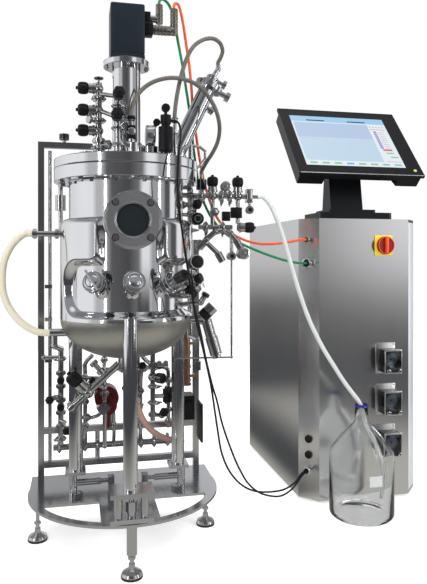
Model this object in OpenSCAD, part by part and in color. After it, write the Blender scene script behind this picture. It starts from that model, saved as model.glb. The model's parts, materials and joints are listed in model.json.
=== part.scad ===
/* [Vessel] */
// Outer radius of the vessel wall
vessel_r = 178; // [176:1:180]
// Thickness of the vessel wall
vessel_wall = 4; // [3:0.5:6]
// Outer radius of the lid and of the body flange
flange_r = 223; // [220:1:226]
// Height of the lid's upper face above the floor
lid_top = 1216; // [1214:1:1220]
// Thickness of the lid
lid_t = 27; // [24:1:30]
// Thickness of the body flange under the lid
flange_t = 38; // [34:1:42]
// Height of the sight glass axis
sight_z = 1022; // [1018:1:1026]
// Height of the ring of sensor ports
port_z = 826; // [822:1:830]

/* [Jacket] */
// Outer radius of the heating jacket
jacket_r = 204; // [202:1:206]
// Height of the jacket's rounded shoulder
jacket_top = 1036; // [1030:1:1040]
// Height at which the straight wall ends and the dished bottom starts
dish_top = 728; // [724:1:732]
// Height of the lowest point of the jacket
jacket_bottom = 601; // [596:1:606]
// Thickness of the jacket's sheet
jacket_sheet = 3; // [2:0.5:4]

/* [Stand] */
// Radius of the round front of the base plate
plate_r = 308; // [302:1:312]
// Height of the base plate's upper face
plate_top = 155; // [150:1:160]
// Thickness of the base plate
plate_t = 8; // [6:1:10]
// Outer diameter of the three support legs
leg_d = 42.4; // [40:0.1:45]
// Side of the square tube of the rear frame
post_w = 20; // [18:1:22]

/* [Drive] */
// Outer diameter of the agitator shaft
shaft_d = 20; // [18:1:22]
// Outer diameter of the lantern between lid and motor
lantern_d = 90; // [86:1:92]
// Side of the square motor
motor_w = 104; // [98:1:108]
// Height of the motor's lower face, where the lantern ends
motor_low = 1533; // [1530:1:1536]
// Height of the motor's upper end
motor_top = 1704; // [1698:1:1710]

/* [Valves] */
// Radius of the process pipes
pipe_r = 8; // [7:0.5:9]
// Radius over the lobes of a valve knob
knob_r = 19; // [17:0.5:19]
// Length of a valve knob
knob_l = 32; // [28:1:32]

/* [Cabinet] */
// Width of the control cabinet
cab_w = 480; // [476:1:484]
// Depth of the control cabinet
cab_d = 740; // [730:1:750]
// Height of the cabinet's upper face
cab_h = 1063; // [1058:1:1066]
// Thickness of the cabinet's sheet
cab_sheet = 2; // [1.5:0.5:3]
// Width of the monitor
monitor_w = 515; // [505:1:520]
// Length of the monitor's face from lower to upper edge
monitor_h = 395; // [390:1:398]
// Angle that the monitor leans back from upright
monitor_lean = 41; // [38:1:44]

/* [Bottle] */
// Radius of the collecting bottle
bottle_r = 113.5; // [112:0.5:114]
// Height of the bottle's rim
bottle_h = 395; // [390:1:396]

/* [Hidden] */
$fn = 48;

// Running clearance of a spindle in its bore, and the gap between faces that turn past each other
run = 0.05;
gap = 0.4;

// The modelled pieces are laid out from the vessel axis, then centred over the floor
centre_x = (668 + (cab_w + monitor_w) / 2 - 309) / 2;
centre_y = (185 + cab_d + 5 - 252) / 2;

// Heights worked out from the driving ones
seal_t = 2;
lid_under = lid_top - lid_t;
flange_top = lid_under - seal_t;
flange_under = flange_top - flange_t;
plate_under = plate_top - plate_t;
vessel_dish = 105;
jacket_dish = dish_top - jacket_bottom;

// Angles about the vessel axis, counted from the front towards the right
front_half = 27;
belt_from = -50;
belt_to = 100;
belt_half = 76;
belt_z = 825;
port_angles = [-28, 1, 31, 57, 84];

// Legs and feet, and the tops of the weighing modules that carry the legs
front_leg = [-4, -192];
left_leg = [-158, 62];
right_leg = [174, 60];
foot_spots = [[0, -192], [-278, 110], [278, 110], [0, 232]];
front_pad_z = 250;
rear_pad_z = 236;

// Valves of the feed manifold: body, and the way its spindle points
feed_valves = [
    [[-89, -60, 1430], [-1, 0, 0]],
    [[-89, -60, 1364], [-1, 0, 0]],
    [[-89, -60, 1302], [-1, 0, 0]],
    [[-33, -100, 1400], [0, -1, 0]],
    [[-38, -100, 1338], [0, -1, 0]]
];

// Valves of the outlet manifold
outlet_valves = [
    [[279, 0, 1118], [0, 0, 1]],
    [[364, 0, 1118], [0, 0, 1]],
    [[357, 0, 1016], [1, 0, 0]]
];

// The drain line under the vessel and its valve
drain_from = [-12, 0, 592];
drain_to = [-178, 0, 442];
drain_body = [-120, 0, 495];
drain_stem = [-0.69, 0, 0.724];

// Where a knob starts along its spindle, and where the spindle ends
knob_start = 30;
spindle_l = 42;

// Cabinet outline and what stands on it
cab_x = 668;
cab_y = 185;
cab_foot = 10;
chamfer_x = 58;
chamfer_y = 64;
switch_spot = [985, 963];
pump_x = 993;
pump_z = [534, 379, 224];
gland_z = [983, 896, 236, 177, 120];
monitor_x = cab_x + cab_w / 2;
monitor_low = [monitor_x, 190, 1232];
monitor_t = 62;
hinge_back = 22;

// The tilt hinge lies behind the middle of the monitor's back
lean_up = [0, sin(monitor_lean), cos(monitor_lean)];
lean_out = [0, -cos(monitor_lean), sin(monitor_lean)];
hinge_at = monitor_low + lean_up * monitor_h / 2 - lean_out * (monitor_t + hinge_back);

bottle_at = [838, 67];

// Routes of the hoses and cables, each a list of points from one end to the other
jacket_hose_path = [
    [-291, 60, 992], [-312, 60, 992], [-338, 58, 973], [-361, 56, 941], [-376, 54, 902],
    [-381, 52, 859], [-379, 50, 815], [-366, 46, 772], [-340, 38, 732], [-308, 29, 703],
    [-275, 22, 686], [-251, 20, 682], [-236, 20, 682]
];
green_cable_path = [
    [104, 0, 1726], [104, 0, 1736], [111, 7, 1748], [124, 16, 1750], [139, 25, 1740],
    [151, 30, 1716], [161, 34, 1682], [169, 37, 1637], [178, 40, 1593], [189, 46, 1543],
    [201, 57, 1481], [214, 72, 1418], [226, 92, 1349], [240, 112, 1268], [259, 127, 1167],
    [288, 133, 1085], [335, 134, 1018], [401, 135, 972], [478, 142, 939], [560, 150, 912],
    [620, 160, 899], [658, 182, 896], [681, 202, 896]
];
orange_cable_path = [
    [152, 0, 1716], [152, 0, 1728], [158, 5, 1738], [168, 10, 1736], [177, 15, 1714],
    [187, 20, 1670], [197, 28, 1614], [209, 38, 1549], [219, 52, 1474], [229, 80, 1405],
    [242, 90, 1332], [258, 106, 1251], [280, 116, 1160], [312, 122, 1074], [352, 126, 1020],
    [407, 130, 985], [478, 138, 966], [560, 146, 968], [622, 158, 978], [658, 182, 983],
    [681, 202, 983]
];
foam_cable_path = [
    [128, -120, 1330], [139, -120, 1330], [147, -136, 1316], [145, -172, 1278],
    [134, -210, 1228], [127, -230, 1166], [127, -227, 1109], [134, -218, 1048],
    [145, -208, 982], [158, -200, 904], [170, -190, 838], [186, -174, 768], [208, -151, 696],
    [233, -118, 602], [259, -87, 518], [279, -67, 462], [300, -46, 387], [330, -20, 309],
    [366, 4, 228], [408, 34, 158], [456, 70, 110], [508, 103, 80], [560, 130, 66],
    [606, 148, 80], [642, 165, 108], [665.8, 183.3, 120], [683.6, 199.4, 120]
];
probe_cable_path = [
    [145.6, -242.4, 868.3], [149.4, -248.8, 871.3], [155, -257, 871], [161, -262, 859], [164, -261, 839], [167, -246, 808],
    [180, -216, 752], [196, -188, 702], [214, -158, 647], [234, -128, 583], [251, -106, 520],
    [263, -90, 462], [281, -64, 374], [301, -38, 288], [338, 0, 211], [391, 42, 148],
    [453, 88, 106], [521, 128, 84], [580, 152, 80], [624, 169, 94], [648, 180, 113],
    [660.4, 189.3, 120], [678.2, 205.4, 120]
];
vent_hose_path = [
    [144, -66, 1352], [144, -66, 1364], [149, -65, 1408], [160, -62, 1465], [173, -56, 1512],
    [190, -47, 1557], [210, -36, 1590], [234, -25, 1612], [260, -14, 1626], [286, -2, 1630],
    [308, 12, 1622], [319, 26, 1603], [314, 36, 1582], [307, 40, 1568], [307, 40, 1558]
];
rinse_hose_path = [
    [6, -98, 1344], [6, -98, 1358], [13, -98, 1385], [28, -97, 1412], [50, -95, 1436],
    [76, -94, 1453], [105, -92, 1464], [136, -88, 1470], [169, -83, 1469], [203, -79, 1460],
    [235, -72, 1440], [262, -58, 1414], [285, -38, 1381], [299, -16, 1341], [299, 6, 1301],
    [286, 27, 1265], [269, 44, 1236], [258, 56, 1214], [254, 60, 1204], [254, 60, 1196]
];
feed_hose_path = [
    [432, 0, 1118], [450, 0, 1118], [473, 4, 1099], [498, 9, 1056], [524, 16, 995],
    [554, 24, 905], [588, 32, 806], [629, 40, 703], [680, 48, 608], [731, 55, 531],
    [772, 61, 473], [806, 65, 431], [822, 67, 412], [834, 67, 393], [841, 67, 372],
    [846, 67, 352], [850, 67, 332], [860, 67, 308], [877, 67, 280], [896, 67, 244],
    [910, 67, 206], [921, 67, 163], [927, 67, 117], [925, 67, 80], [916, 67, 45]
];

function unit(v) = v / norm(v);

// Point on a circle about the vessel axis, at an angle from the front towards the right
function around(angle, r, z) = [r * sin(angle), -r * cos(angle), z];

// Quarter ellipse from a rim down to the axis, for a dished end
function dish(r, top, depth, steps = 14) =
    [for (i = [0 : steps]) [r * cos(90 * i / steps), top - depth * sin(90 * i / steps)]];

// Puts its children's +Z along the way from p to q
module along(p, q) {
    way = q - p;
    translate(p) rotate([0, acos(way[2] / norm(way)), atan2(way[1], way[0])]) children();
}

module rod(p, q, r) {
    along(p, q) cylinder(h = norm(q - p), r = r);
}

// Pipe through a list of points, with a swelled elbow at each bend
module pipe_run(points, r) {
    for (i = [0 : len(points) - 2]) rod(points[i], points[i + 1], r);
    if (len(points) > 2)
        for (i = [1 : len(points) - 2]) translate(points[i]) sphere(r = r * 1.16);
}

// Clamped pipe union: two flat ferrules held by a ring, centred on its place
module union_clamp(at, way, r) {
    along(at, at + way) translate([0, 0, -7]) {
        cylinder(h = 14, r = r - 2.5);
        translate([0, 0, 3]) cylinder(h = 8, r = r);
    }
}

// Diaphragm valve: body, bolted bonnet and the spindle that the knob turns on
module valve(at, stem, size = 1) {
    translate(at) sphere(r = 14.5 * size);
    along(at, at + stem) {
        cylinder(h = 14 * size, r = 12.5 * size);
        translate([0, 0, 12 * size]) cylinder(h = 6 * size, r = 17 * size);
        translate([0, 0, 18 * size]) cylinder(h = (knob_start - 18) * size - gap, r = 14.5 * size);
        cylinder(h = spindle_l * size, r = 4 * size);
    }
}

// Valve knob with six lobes and a position button, bored for its spindle
module knob(at, stem, size = 1) {
    r = knob_r * size;
    lobe_r = 5.2 * size;
    along(at, at + stem) translate([0, 0, knob_start * size]) difference() {
        union() {
            cylinder(h = knob_l * size, r = r - 2.6 * size);
            for (i = [0 : 5]) rotate([0, 0, 60 * i]) translate([r - lobe_r, 0, 3 * size])
                cylinder(h = (knob_l - 7) * size, r = lobe_r);
            translate([0, 0, knob_l * size]) cylinder(h = 6 * size, r = 5 * size);
        }
        translate([0, 0, -1]) cylinder(h = 1 + (spindle_l - knob_start) * size + gap, r = 4 * size + run);
    }
}

// Round hose or cable of radius r swept along its route, flat at both ends
module swept(path, r, sides = 8) {
    last = len(path) - 1;
    rings = [for (i = [0 : last])
        let (way = unit(path[min(i + 1, last)] - path[max(i - 1, 0)]),
             side = unit(cross(way, [0, 1, 0])),
             up = cross(side, way))
        for (k = [0 : sides - 1])
            path[i] + r * (cos(360 * k / sides) * side + sin(360 * k / sides) * up)];
    walls = [for (i = [0 : last - 1]) for (k = [0 : sides - 1])
        let (a = i * sides + k, b = i * sides + (k + 1) % sides)
        each [[a, a + sides, b], [b, a + sides, b + sides]]];
    start = [for (k = [0 : sides - 1]) k];
    finish = [for (k = [sides - 1 : -1 : 0]) last * sides + k];
    polyhedron(points = rings, faces = concat(walls, [start, finish]), convexity = 10);
}

// Flat-headed hexagon screw, its head's underside at the place given
module hex_screw(at, way, shank_l) {
    along(at, at + way) {
        cylinder(h = 6.4, r = 9.2, $fn = 6);
        translate([0, 0, -shank_l]) cylinder(h = shank_l, r = 5);
    }
}

// ---- stand ----

module plate_outline(edge) {
    intersection() {
        union() {
            translate([0, 100]) circle(r = plate_r - edge, $fn = 120);
            translate([-plate_r + edge + 3, 100]) square([2 * (plate_r - edge) - 6, 160 - edge]);
        }
        translate([-400, -400]) square([800, 660 - edge]);
    }
}

module base_plate() {
    window_x = 86;
    window_back = -10;
    color("lightsteelblue") difference() {
        translate([0, 0, plate_under]) linear_extrude(plate_t) difference() {
            plate_outline(0);
            for (side = [-1, 1]) intersection() {
                plate_outline(26);
                translate([side * (window_x + 82), -100 + window_back])
                    square([164, 200], center = true);
            }
        }
        for (spot = foot_spots) translate([spot[0], spot[1], plate_under - 1])
            cylinder(h = plate_t + 2, r = 6);
    }
}

module levelling_feet() {
    color("silver") for (spot = foot_spots) translate([spot[0], spot[1], 0]) {
        pad_r = 31;
        sleeve = spot[1] < -150 ? 66 : 122;
        rotate_extrude() polygon([
            [0, 0], [pad_r, 0], [pad_r, 9], [pad_r - 3, 16], [pad_r - 14, 22],
            [10, 27], [9, 40], [6, 40], [6, plate_top], [0, plate_top]
        ]);
        translate([0, 0, sleeve]) cylinder(h = plate_under - sleeve, r = 15);
        translate([0, 0, 52]) cylinder(h = 8, r = 11, $fn = 6);
    }
}

// Solid form of the jacket from its shoulder to its dished bottom, smaller by inset all round
module jacket_form(inset = 0) {
    r = jacket_r - inset;
    neck = vessel_r - inset;
    top = jacket_top - inset;
    shoulder = [for (i = [0 : 5])
        [neck + (r - neck) * sin(18 * i), top - 24 * (1 - cos(18 * i))]];
    rotate_extrude($fn = 120)
        polygon(concat([[0, top]], shoulder, dish(r, dish_top, jacket_dish - inset)));
}

// Outer form of the pressure vessel
module vessel_form(inset = 0) {
    r = vessel_r - inset;
    rotate_extrude($fn = 120)
        polygon(concat([[0, flange_top], [r, flange_top]], dish(r, dish_top, vessel_dish - inset)));
}

module support_legs() {
    r = leg_d / 2;
    color("gainsboro") difference() {
        for (spot = [front_leg, left_leg, right_leg]) translate([spot[0], spot[1], 0]) {
            low = spot == front_leg ? front_pad_z : rear_pad_z;
            difference() {
                translate([0, 0, low]) cylinder(h = 742 - low, r = r);
                translate([0, 0, low - 1]) cylinder(h = 740 - low, r = r - 2);
            }
        }
        jacket_form();
    }
}

module weigh_modules() {
    color("lightgray") {
        // Front module: two plates, two distance posts and the load cell between them
        translate([-63, -204, plate_top]) cube([126, 66, 14]);
        translate([-63, -226, front_pad_z - 13]) cube([126, 90, 13]);
        for (x = [-38, 38]) translate([x, -186, plate_top + 14])
            cylinder(h = front_pad_z - 13 - plate_top - 14, r = 12);
        translate([0, -180, plate_top + 14]) {
            cylinder(h = 16, r = 13);
            translate([0, 0, 16]) cylinder(h = 30, r = 19, $fn = 6);
            translate([0, 0, 46]) cylinder(h = front_pad_z - 13 - plate_top - 60, r = 8);
        }
        // Rear modules: a plate on a stub beside the load cell, with a side stay that keeps it from swinging
        for (spot = [left_leg, right_leg]) {
            side = sign(spot[0]);
            translate([spot[0], spot[1], 0]) {
                translate([-32, -32, rear_pad_z - 10]) cube([64, 64, 10]);
                translate([side * 8, -14, plate_top]) cylinder(h = rear_pad_z - 10 - plate_top, r = 13.5);
                translate([side * 8, 18, plate_top]) cylinder(h = rear_pad_z - 10 - plate_top, r = 8);
                translate([-side * 6, -14, plate_top]) cylinder(h = 12, r = 18, $fn = 6);
            }
            rod([spot[0] + side * 2, spot[1] - 16, 199], [spot[0] - side * 80, spot[1] - 16, 199], 10);
            rod([spot[0] - side * 80, spot[1] - 16, 199], [spot[0] - side * 110, spot[1] - 16, 199], 6.5);
            translate([spot[0] - side * 112 - 10, spot[1] - 30, plate_top]) cube([20, 28, 58]);
        }
    }
}

module rear_frame() {
    color("slategray") {
        for (x = [-272, 262]) translate([x - post_w / 2, 194, plate_top])
            cube([post_w, post_w, (x < 0 ? 1309 : 980) - plate_top]);
        for (z = [318, 203]) translate([-272, 194, z]) cube([534, post_w, post_w]);
        translate([-272, 194, 1289]) cube([172, post_w, post_w]);
        translate([-196, 204, 1309]) {
            cylinder(h = 10, r = 7);
            translate([0, 0, 10]) cylinder(h = 20, r = 16);
        }
    }
}

// ---- pipes and machines under the vessel ----

// Solid round of a leg, for what ends against it
module leg_round(spot) {
    translate([spot[0], spot[1], 200]) cylinder(h = 500, r = leg_d / 2);
}

module service_pipes() {
    color("silver") {
        // Slim riser beside the left post, with its pipe clips
        rod([-243, 204, 223], [-243, 204, 318], 6);
        rod([-243, 204, 338], [-243, 204, 1280], 6);
        for (z = [992, 812, 700, 560]) translate([-260, 197, z]) cube([24, 14, 12]);
        // Utility line between the cross bars, with tees and drops
        rod([-232, 204, 268], [200, 204, 268], 10.5);
        for (x = [-212, -153, -126, -84, 42, 66, 112, 160]) union_clamp([x, 204, 268], [1, 0, 0], 17);
        for (x = [-140, -84]) rod([x, 204, 223], [x, 204, 318], 8);
        rod([-40, 204, 338], [-40, 204, 400], 10);
        // Line from the utility line up to the valve in front of the pump
        pipe_run([[-65, 204, 268], [-65, 77, 300], [-65, 77, 424]], 7);
        translate([-68, 75, 428]) rotate([0, 45, 0]) cube([34, 30, 34], center = true);
        rod([-68, 61, 428], [-68, 51, 428], 11);
        rod([-66, 75, 436], [-66, 75, 492], 8);
        union_clamp([-66, 75, 472], [0, 0, 1], 15);
        translate([-66, 75, 492]) sphere(r = 9.5);
        rod([-66, 75, 492], [-104, 75, 512], 8);
        rod([-100, 75, 509.8], [-114, 75, 517.6], 15);
        // Left riser with unions, and the two jacket connections
        pipe_run([[-206, 160, 290], [-206, 160, 610], [-222, 20, 640], [-222, 20, 682]], 9);
        for (z = [310, 352, 398, 440, 486, 530, 578]) union_clamp([-206, 160, z], [0, 0, 1], 16.5);
        for (z = [419, 508]) rod([-206, 160, z], [-206, 132, z], 12);
        pipe_run([[-262, 194, 583], [-262, 160, 583], [-206, 160, 583]], 6.5);
        difference() {
            union() {
                rod([-236, 20, 682], [-160, 20, 682], 12);
                rod([-288, 60, 992], [-150, 60, 992], 9);
                rod([94, 90, 372], [94, 90, 660], 8);
                rod([44, 98, 446], [44, 98, 640], 8);
            }
            jacket_form();
        }
        union_clamp([-216, 60, 992], [1, 0, 0], 16);
        union_clamp([-284, 60, 992], [1, 0, 0], 16);
        // Rear left vent line beside the vessel wall
        pipe_run([[-206, 110, 1050], [-206, 110, 1150], [-206, 150, 1150], [-206, 150, 1000]], 7);
        translate([-206, 110, 1070]) cylinder(h = 50, r = 17);
        // Right risers behind the vessel
        rod([226, 120, 640], [226, 120, 1140], 9);
        for (z = [700, 860, 1010, 1100]) union_clamp([226, 120, z], [0, 0, 1], 17);
        pipe_run([[226, 120, 646], [240, 60, 640], [240, 60, 560]], 7);
        translate([240, 60, 540]) cylinder(h = 30, r = 12);
        // Steam line under the vessel's right half, with its side branch and hand wheels
        for (z = [392, 432, 486, 560]) union_clamp([94, 90, z], [0, 0, 1], 15);
        translate([94, 90, 372]) cylinder(h = 10, r = 4);
        rod([94, 90, 556], [140, 90, 556], 7);
        for (x = [116, 138]) union_clamp([x, 90, 556], [1, 0, 0], 15);
        translate([94, 90, 517]) sphere(r = 16);
        rod([94, 90, 517], [109, 72, 517], 10);
        rod([109, 72, 517], [124, 54, 517], 17);
        rod([94, 90, 452], [138, 96, 452], 7);
        translate([144, 97, 430]) cylinder(h = 44, r = 15);
        translate([144, 97, 424]) cylinder(h = 60, r = 9);
        // Hose that bends down behind the front leg and across to the utility line
        union_clamp([44, 98, 458], [0, 0, 1], 14);
        translate([194, 98, 446]) rotate([90, 0, 0]) rotate([0, 0, 180])
            rotate_extrude(angle = 90) translate([150, 0]) circle(r = 9.3);
        union_clamp([194, 98, 296], [1, 0, 0], 14);
        rod([194, 98, 296], [194, 204, 268], 8);
    }
}

module circulation_pump() {
    color("firebrick") {
        translate([-56, 122, 446]) rotate([-90, 0, 0]) cylinder(h = 62, r = 40);
        translate([-56, 112, 424]) rotate([-90, 0, 0]) cylinder(h = 26, r = 34);
        translate([-92, 138, 470]) cube([36, 44, 36]);
        translate([-56, 92, 424]) rotate([-90, 0, 0]) cylinder(h = 22, r = 16, $fn = 6);
        translate([-56, 160, 338]) cylinder(h = 80, r = 12);
    }
}

// Slim brazed heat exchanger, a lagged column held by four brass clamps
module heat_exchanger() {
    column = [221, 160];
    color("peru") {
        translate([column[0], column[1], 470]) cylinder(h = 200, r = 13);
        for (z = [484, 532, 580, 636]) translate([column[0], column[1], z]) cylinder(h = 9, r = 15.5);
        for (z = [470, 662]) translate([column[0], column[1], z]) cylinder(h = 8, r = 17, $fn = 6);
        for (z = [502, 616]) {
            rod([column[0], column[1], z], [255, column[1], z], 5);
            rod([255, column[1] - 5, z], [255, 194, z], 5);
        }
    }
}

module control_box() {
    color("black") {
        translate([196, 160, 348]) cube([54, 70, 84]);
        translate([204, 148, 372]) cube([38, 12, 40]);
        translate([272, 150, 268]) cube([6, 90, 134]);
    }
}

// ---- vessel ----

// Ports stand out of the wall in the belt that the jacket leaves free, tipped up a little
port_tip = 22;
function port_way(angle) = [sin(angle) * cos(port_tip), -cos(angle) * cos(port_tip), sin(port_tip)];
function port_at(angle, out) = around(angle, vessel_r, port_z) + out * port_way(angle);
port_face = 16;

module vessel() {
    color("whitesmoke") difference() {
        union() {
            vessel_form();
            translate([0, 0, flange_under]) cylinder(h = flange_t, r = flange_r, $fn = 120);
            translate([0, -170, sight_z]) rotate([90, 0, 0]) {
                cylinder(h = 40, r = 66);
                translate([0, 0, 40]) cylinder(h = 10, r = 81);
            }
            for (angle = port_angles) rod(port_at(angle, -10), port_at(angle, port_face), 16);
            translate([0, 0, 585]) cylinder(h = 50, r = 26);
        }
        vessel_form(vessel_wall);
        translate([0, 0, flange_under - 1]) cylinder(h = flange_t + 2, r = vessel_r - vessel_wall);
        translate([0, -150, sight_z]) rotate([90, 0, 0]) cylinder(h = 80, r = 48);
        for (angle = port_angles) rod(port_at(angle, -30), port_at(angle, port_face + 1), 12.5);
        translate([0, 0, 584]) cylinder(h = 60, r = 12);
        for (i = [0 : 11]) translate(around(15 + 30 * i, 206, flange_under - 1))
            cylinder(h = flange_t + 2, r = 5);
        for (i = [0 : 3]) rotate([0, 0, 0]) translate([0, -200, sight_z]) rotate([90, 45 + 90 * i, 0])
            translate([69.5, 0, 0]) cylinder(h = 21, r = 5);
    }
}

// The part of the jacket that is left open: around the sight glass and along the ports
module wedge(from, to, low, high) {
    translate([0, 0, low]) rotate([0, 0, from - 90]) rotate_extrude(angle = to - from, $fn = 120)
        translate([vessel_r - 60, 0]) square([120, high - low]);
}

module cutaways(grow = 0) {
    turn = grow * 180 / (PI * jacket_r);
    wedge(-front_half - turn, front_half + turn, belt_z - grow, jacket_top + 40);
    wedge(belt_from, belt_to, belt_z - belt_half - grow, belt_z + belt_half + grow);
    for (angle = [belt_from, belt_to])
        rod(around(angle, vessel_r - 50, belt_z), around(angle, jacket_r + 40, belt_z), belt_half + grow + 0.6);
}

module jacket() {
    color("gainsboro") difference() {
        jacket_form();
        cutaways();
        difference() {
            jacket_form(jacket_sheet);
            cutaways(jacket_sheet);
        }
        vessel_form();
        translate([0, 0, 580]) cylinder(h = 60, r = 26);
        rod([-300, 60, 992], [-150, 60, 992], 6);
        rod([-229, 20, 682], [-150, 20, 682], 6);
        rod([94, 90, 580], [94, 90, 680], 5);
        rod([44, 98, 560], [44, 98, 680], 5);
    }
}

// ---- lid ----

lid_screw_r = 206;

module lid() {
    color("gainsboro") difference() {
        union() {
            translate([0, 0, lid_under]) cylinder(h = lid_t, r = flange_r, $fn = 120);
            // Nozzles welded on the lid
            translate([-89, -60, lid_top]) cylinder(h = 18, r = 22);
            translate([-33, -100, lid_top]) cylinder(h = 12, r = 18);
            translate([14, -92, lid_top]) cylinder(h = 46, r = 24);
            translate([68, -72, lid_top]) cylinder(h = 40, r = 28);
            translate([108, -120, lid_top]) cylinder(h = 12, r = 24);
            translate([144, -66, lid_top]) cylinder(h = 14, r = 12);
            translate([154, 40, lid_top]) cylinder(h = 16, r = 34);
            for (spot = [[-120, 60], [-30, 130], [70, 120]])
                translate([spot[0], spot[1], lid_top]) {
                    cylinder(h = 30, r = 19);
                    translate([0, 0, 30]) cylinder(h = 10, r = 26);
                }
            translate([0, 0, lid_top]) cylinder(h = 10, r = 62);
        }
        translate([0, 0, lid_under - 1]) cylinder(h = lid_t + 20, r = 24);
        for (i = [0 : 11]) translate(around(15 + 30 * i, lid_screw_r, lid_under - 1))
            cylinder(h = 19, r = 5);
    }
}

module lid_seal() {
    color("dimgray") translate([0, 0, flange_top]) difference() {
        cylinder(h = seal_t, r = 198, $fn = 120);
        translate([0, 0, -1]) cylinder(h = seal_t + 2, r = 182, $fn = 120);
    }
}

module flange_screws() {
    color("silver") {
        for (i = [0 : 11]) hex_screw(around(15 + 30 * i, lid_screw_r, flange_under), [0, 0, -1],
            flange_t + seal_t + 18);
        for (i = [0 : 3]) {
            turn = 45 + 90 * i;
            hex_screw([69.5 * cos(turn), -235, sight_z + 69.5 * sin(turn)], [0, -1, 0], 34);
        }
    }
}

module sight_glass_ring() {
    color("silver") translate([0, -220, sight_z]) rotate([90, 0, 0]) difference() {
        cylinder(h = 15, r = 82.5, $fn = 96);
        translate([0, 0, -1]) cylinder(h = 17, r = 46.5);
        translate([0, 0, -1]) cylinder(h = 10, r = 56);
        for (i = [0 : 3]) rotate([0, 0, 45 + 90 * i]) translate([69.5, 0, -1]) cylinder(h = 17, r = 5);
    }
}

module sight_glass_pane() {
    color("darkslategray") translate([0, -220, sight_z]) rotate([90, 0, 0]) cylinder(h = 9, r = 56);
}

// Blind caps on the first two ports; the left one has a bar to turn it by
module port_plugs() {
    color("silver") {
        for (angle = [port_angles[0], port_angles[1]]) {
            rod(port_at(angle, port_face), port_at(angle, port_face + 6), 25);
            rod(port_at(angle, port_face + 6), port_at(angle, port_face + 32), 21);
            rod(port_at(angle, port_face + 32), port_at(angle, port_face + 47), 31);
            rod(port_at(angle, port_face + 47), port_at(angle, port_face + 53), 26);
        }
        along(port_at(port_angles[0], port_face + 55), port_at(port_angles[0], port_face + 65))
            rotate([0, 0, 40]) translate([-38, 0, 0]) rotate([0, 90, 0]) cylinder(h = 76, r = 3.6);
    }
}

// Probes in the other ports: union nut, housing, cable head
probe_lengths = [62, 46, 24];
probe_heads = [[16, 35], [14, 22], [16, 20]];

// A fitting on the right of the jacket: a slim stub, then its body and its capped end
module side_fitting(foot, elbow, end, body_r, cap_r, cap_l) {
    rod(foot, elbow, 8);
    translate(elbow) sphere(r = 10.5);
    rod(elbow, end, body_r);
    rod(end, end + cap_l * unit(end - elbow), cap_r);
}

module sensor_probes() {
    color("silver") {
        for (i = [0 : 2]) {
            angle = port_angles[i + 2];
            neck = port_face + probe_lengths[i];
            rod(port_at(angle, port_face), port_at(angle, port_face + 18), 21);
            rod(port_at(angle, port_face + 18), port_at(angle, neck), 12);
            rod(port_at(angle, neck), port_at(angle, neck + probe_heads[i][1]), probe_heads[i][0]);
            rod(port_at(angle, -70), port_at(angle, port_face), 6);
        }
        // Sampling valve standing on the second probe's housing, its handle to the front
        translate(port_at(port_angles[3], 48)) {
            cylinder(h = 54, r = 8);
            translate([0, 0, 54]) sphere(r = 17);
            rod([0, 0, 54], [4, -26, 56], 12);
            rod([4, -26, 56], [8, -54, 60], 21);
        }
        // Fittings below the ports, and the tilted transmitter on the jacket's lower right
        difference() {
            union() {
                side_fitting([130, -94, 798], [178, -131, 801], [191, -121, 814], 11, 17.5, 22);
                side_fitting([162, -50, 768], [226, -68, 776], [238, -74, 796], 9, 12, 9);
            }
            vessel_form();
        }
        difference() {
            union() {
                side_fitting([172, -42, 721], [234, -54, 728], [251, -57, 745], 13, 19, 24);
                rod([176, -17, 717], [250, -20, 708], 9);
                rod([254, -21, 716], [270, -22, 660], 17);
                rod([270, -22, 660], [286, -23, 604], 20);
                rod([286, -23, 604], [289, -23.2, 593], 14);
            }
            jacket_form();
        }
    }
}

module baffles() {
    color("silver") for (angle = [45, 165, 285]) rotate([0, 0, angle])
        translate([154, -2, 740]) cube([16, 4, flange_under - 760]);
}

// Bottom drain: slanted line from the vessel's lowest point, with its valve
module drain_valve() {
    color("silver") {
        translate([0, 0, 565]) cylinder(h = 20, r = 26);
        difference() {
            rod(drain_from, drain_to, 11.5);
            translate([-30, -30, 585]) cube([60, 60, 30]);
        }
        union_clamp(drain_from + 0.94 * (drain_to - drain_from), drain_to - drain_from, 20);
        rod([-66, 0, 543], [-104, 0, 587], 8);
        rod([-76, 0, 554.6], [-84, 0, 563.8], 14);
        rod([-98, 0, 580], [-106, 0, 589.3], 13);
        valve(drain_body, drain_stem, 1.3);
    }
}

module drain_knob() {
    color("black") knob(drain_body, drain_stem, 1.3);
}

// ---- agitator ----

shaft_top = 1470;
shaft_low = 700;

module agitator_shaft() {
    color("silver") translate([0, 0, shaft_low]) cylinder(h = shaft_top - shaft_low, r = shaft_d / 2);
}

// Two six-bladed disc impellers clamped on the shaft
module impellers() {
    color("silver") for (z = [740, 900]) translate([0, 0, z]) difference() {
        union() {
            cylinder(h = 30, r = 18);
            translate([0, 0, 13]) cylinder(h = 3, r = 45);
            for (i = [0 : 5]) rotate([0, 0, 60 * i]) translate([35, -1.5, 3]) cube([27, 3, 24]);
        }
        translate([0, 0, -1]) cylinder(h = 32, r = shaft_d / 2);
    }
}

// Lantern tube on the lid; it holds the seal housing and carries the motor
module motor_lantern() {
    r = lantern_d / 2;
    color("silver") difference() {
        union() {
            translate([0, 0, lid_top + 10]) cylinder(h = 44, r = 58);
            translate([0, 0, lid_top + 54]) cylinder(h = motor_low - lid_top - 54, r = r);
            translate([0, 0, motor_low - 17]) cylinder(h = 17, r = 72);
        }
        translate([0, 0, lid_top]) cylinder(h = 60, r = shaft_d / 2 + run);
        translate([0, 0, lid_top + 54]) cylinder(h = motor_low - lid_top, r = r - 5);
        for (side = [-1, 1]) translate([side * r, 0, 1450]) cube([30, 34, 70], center = true);
    }
}

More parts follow.
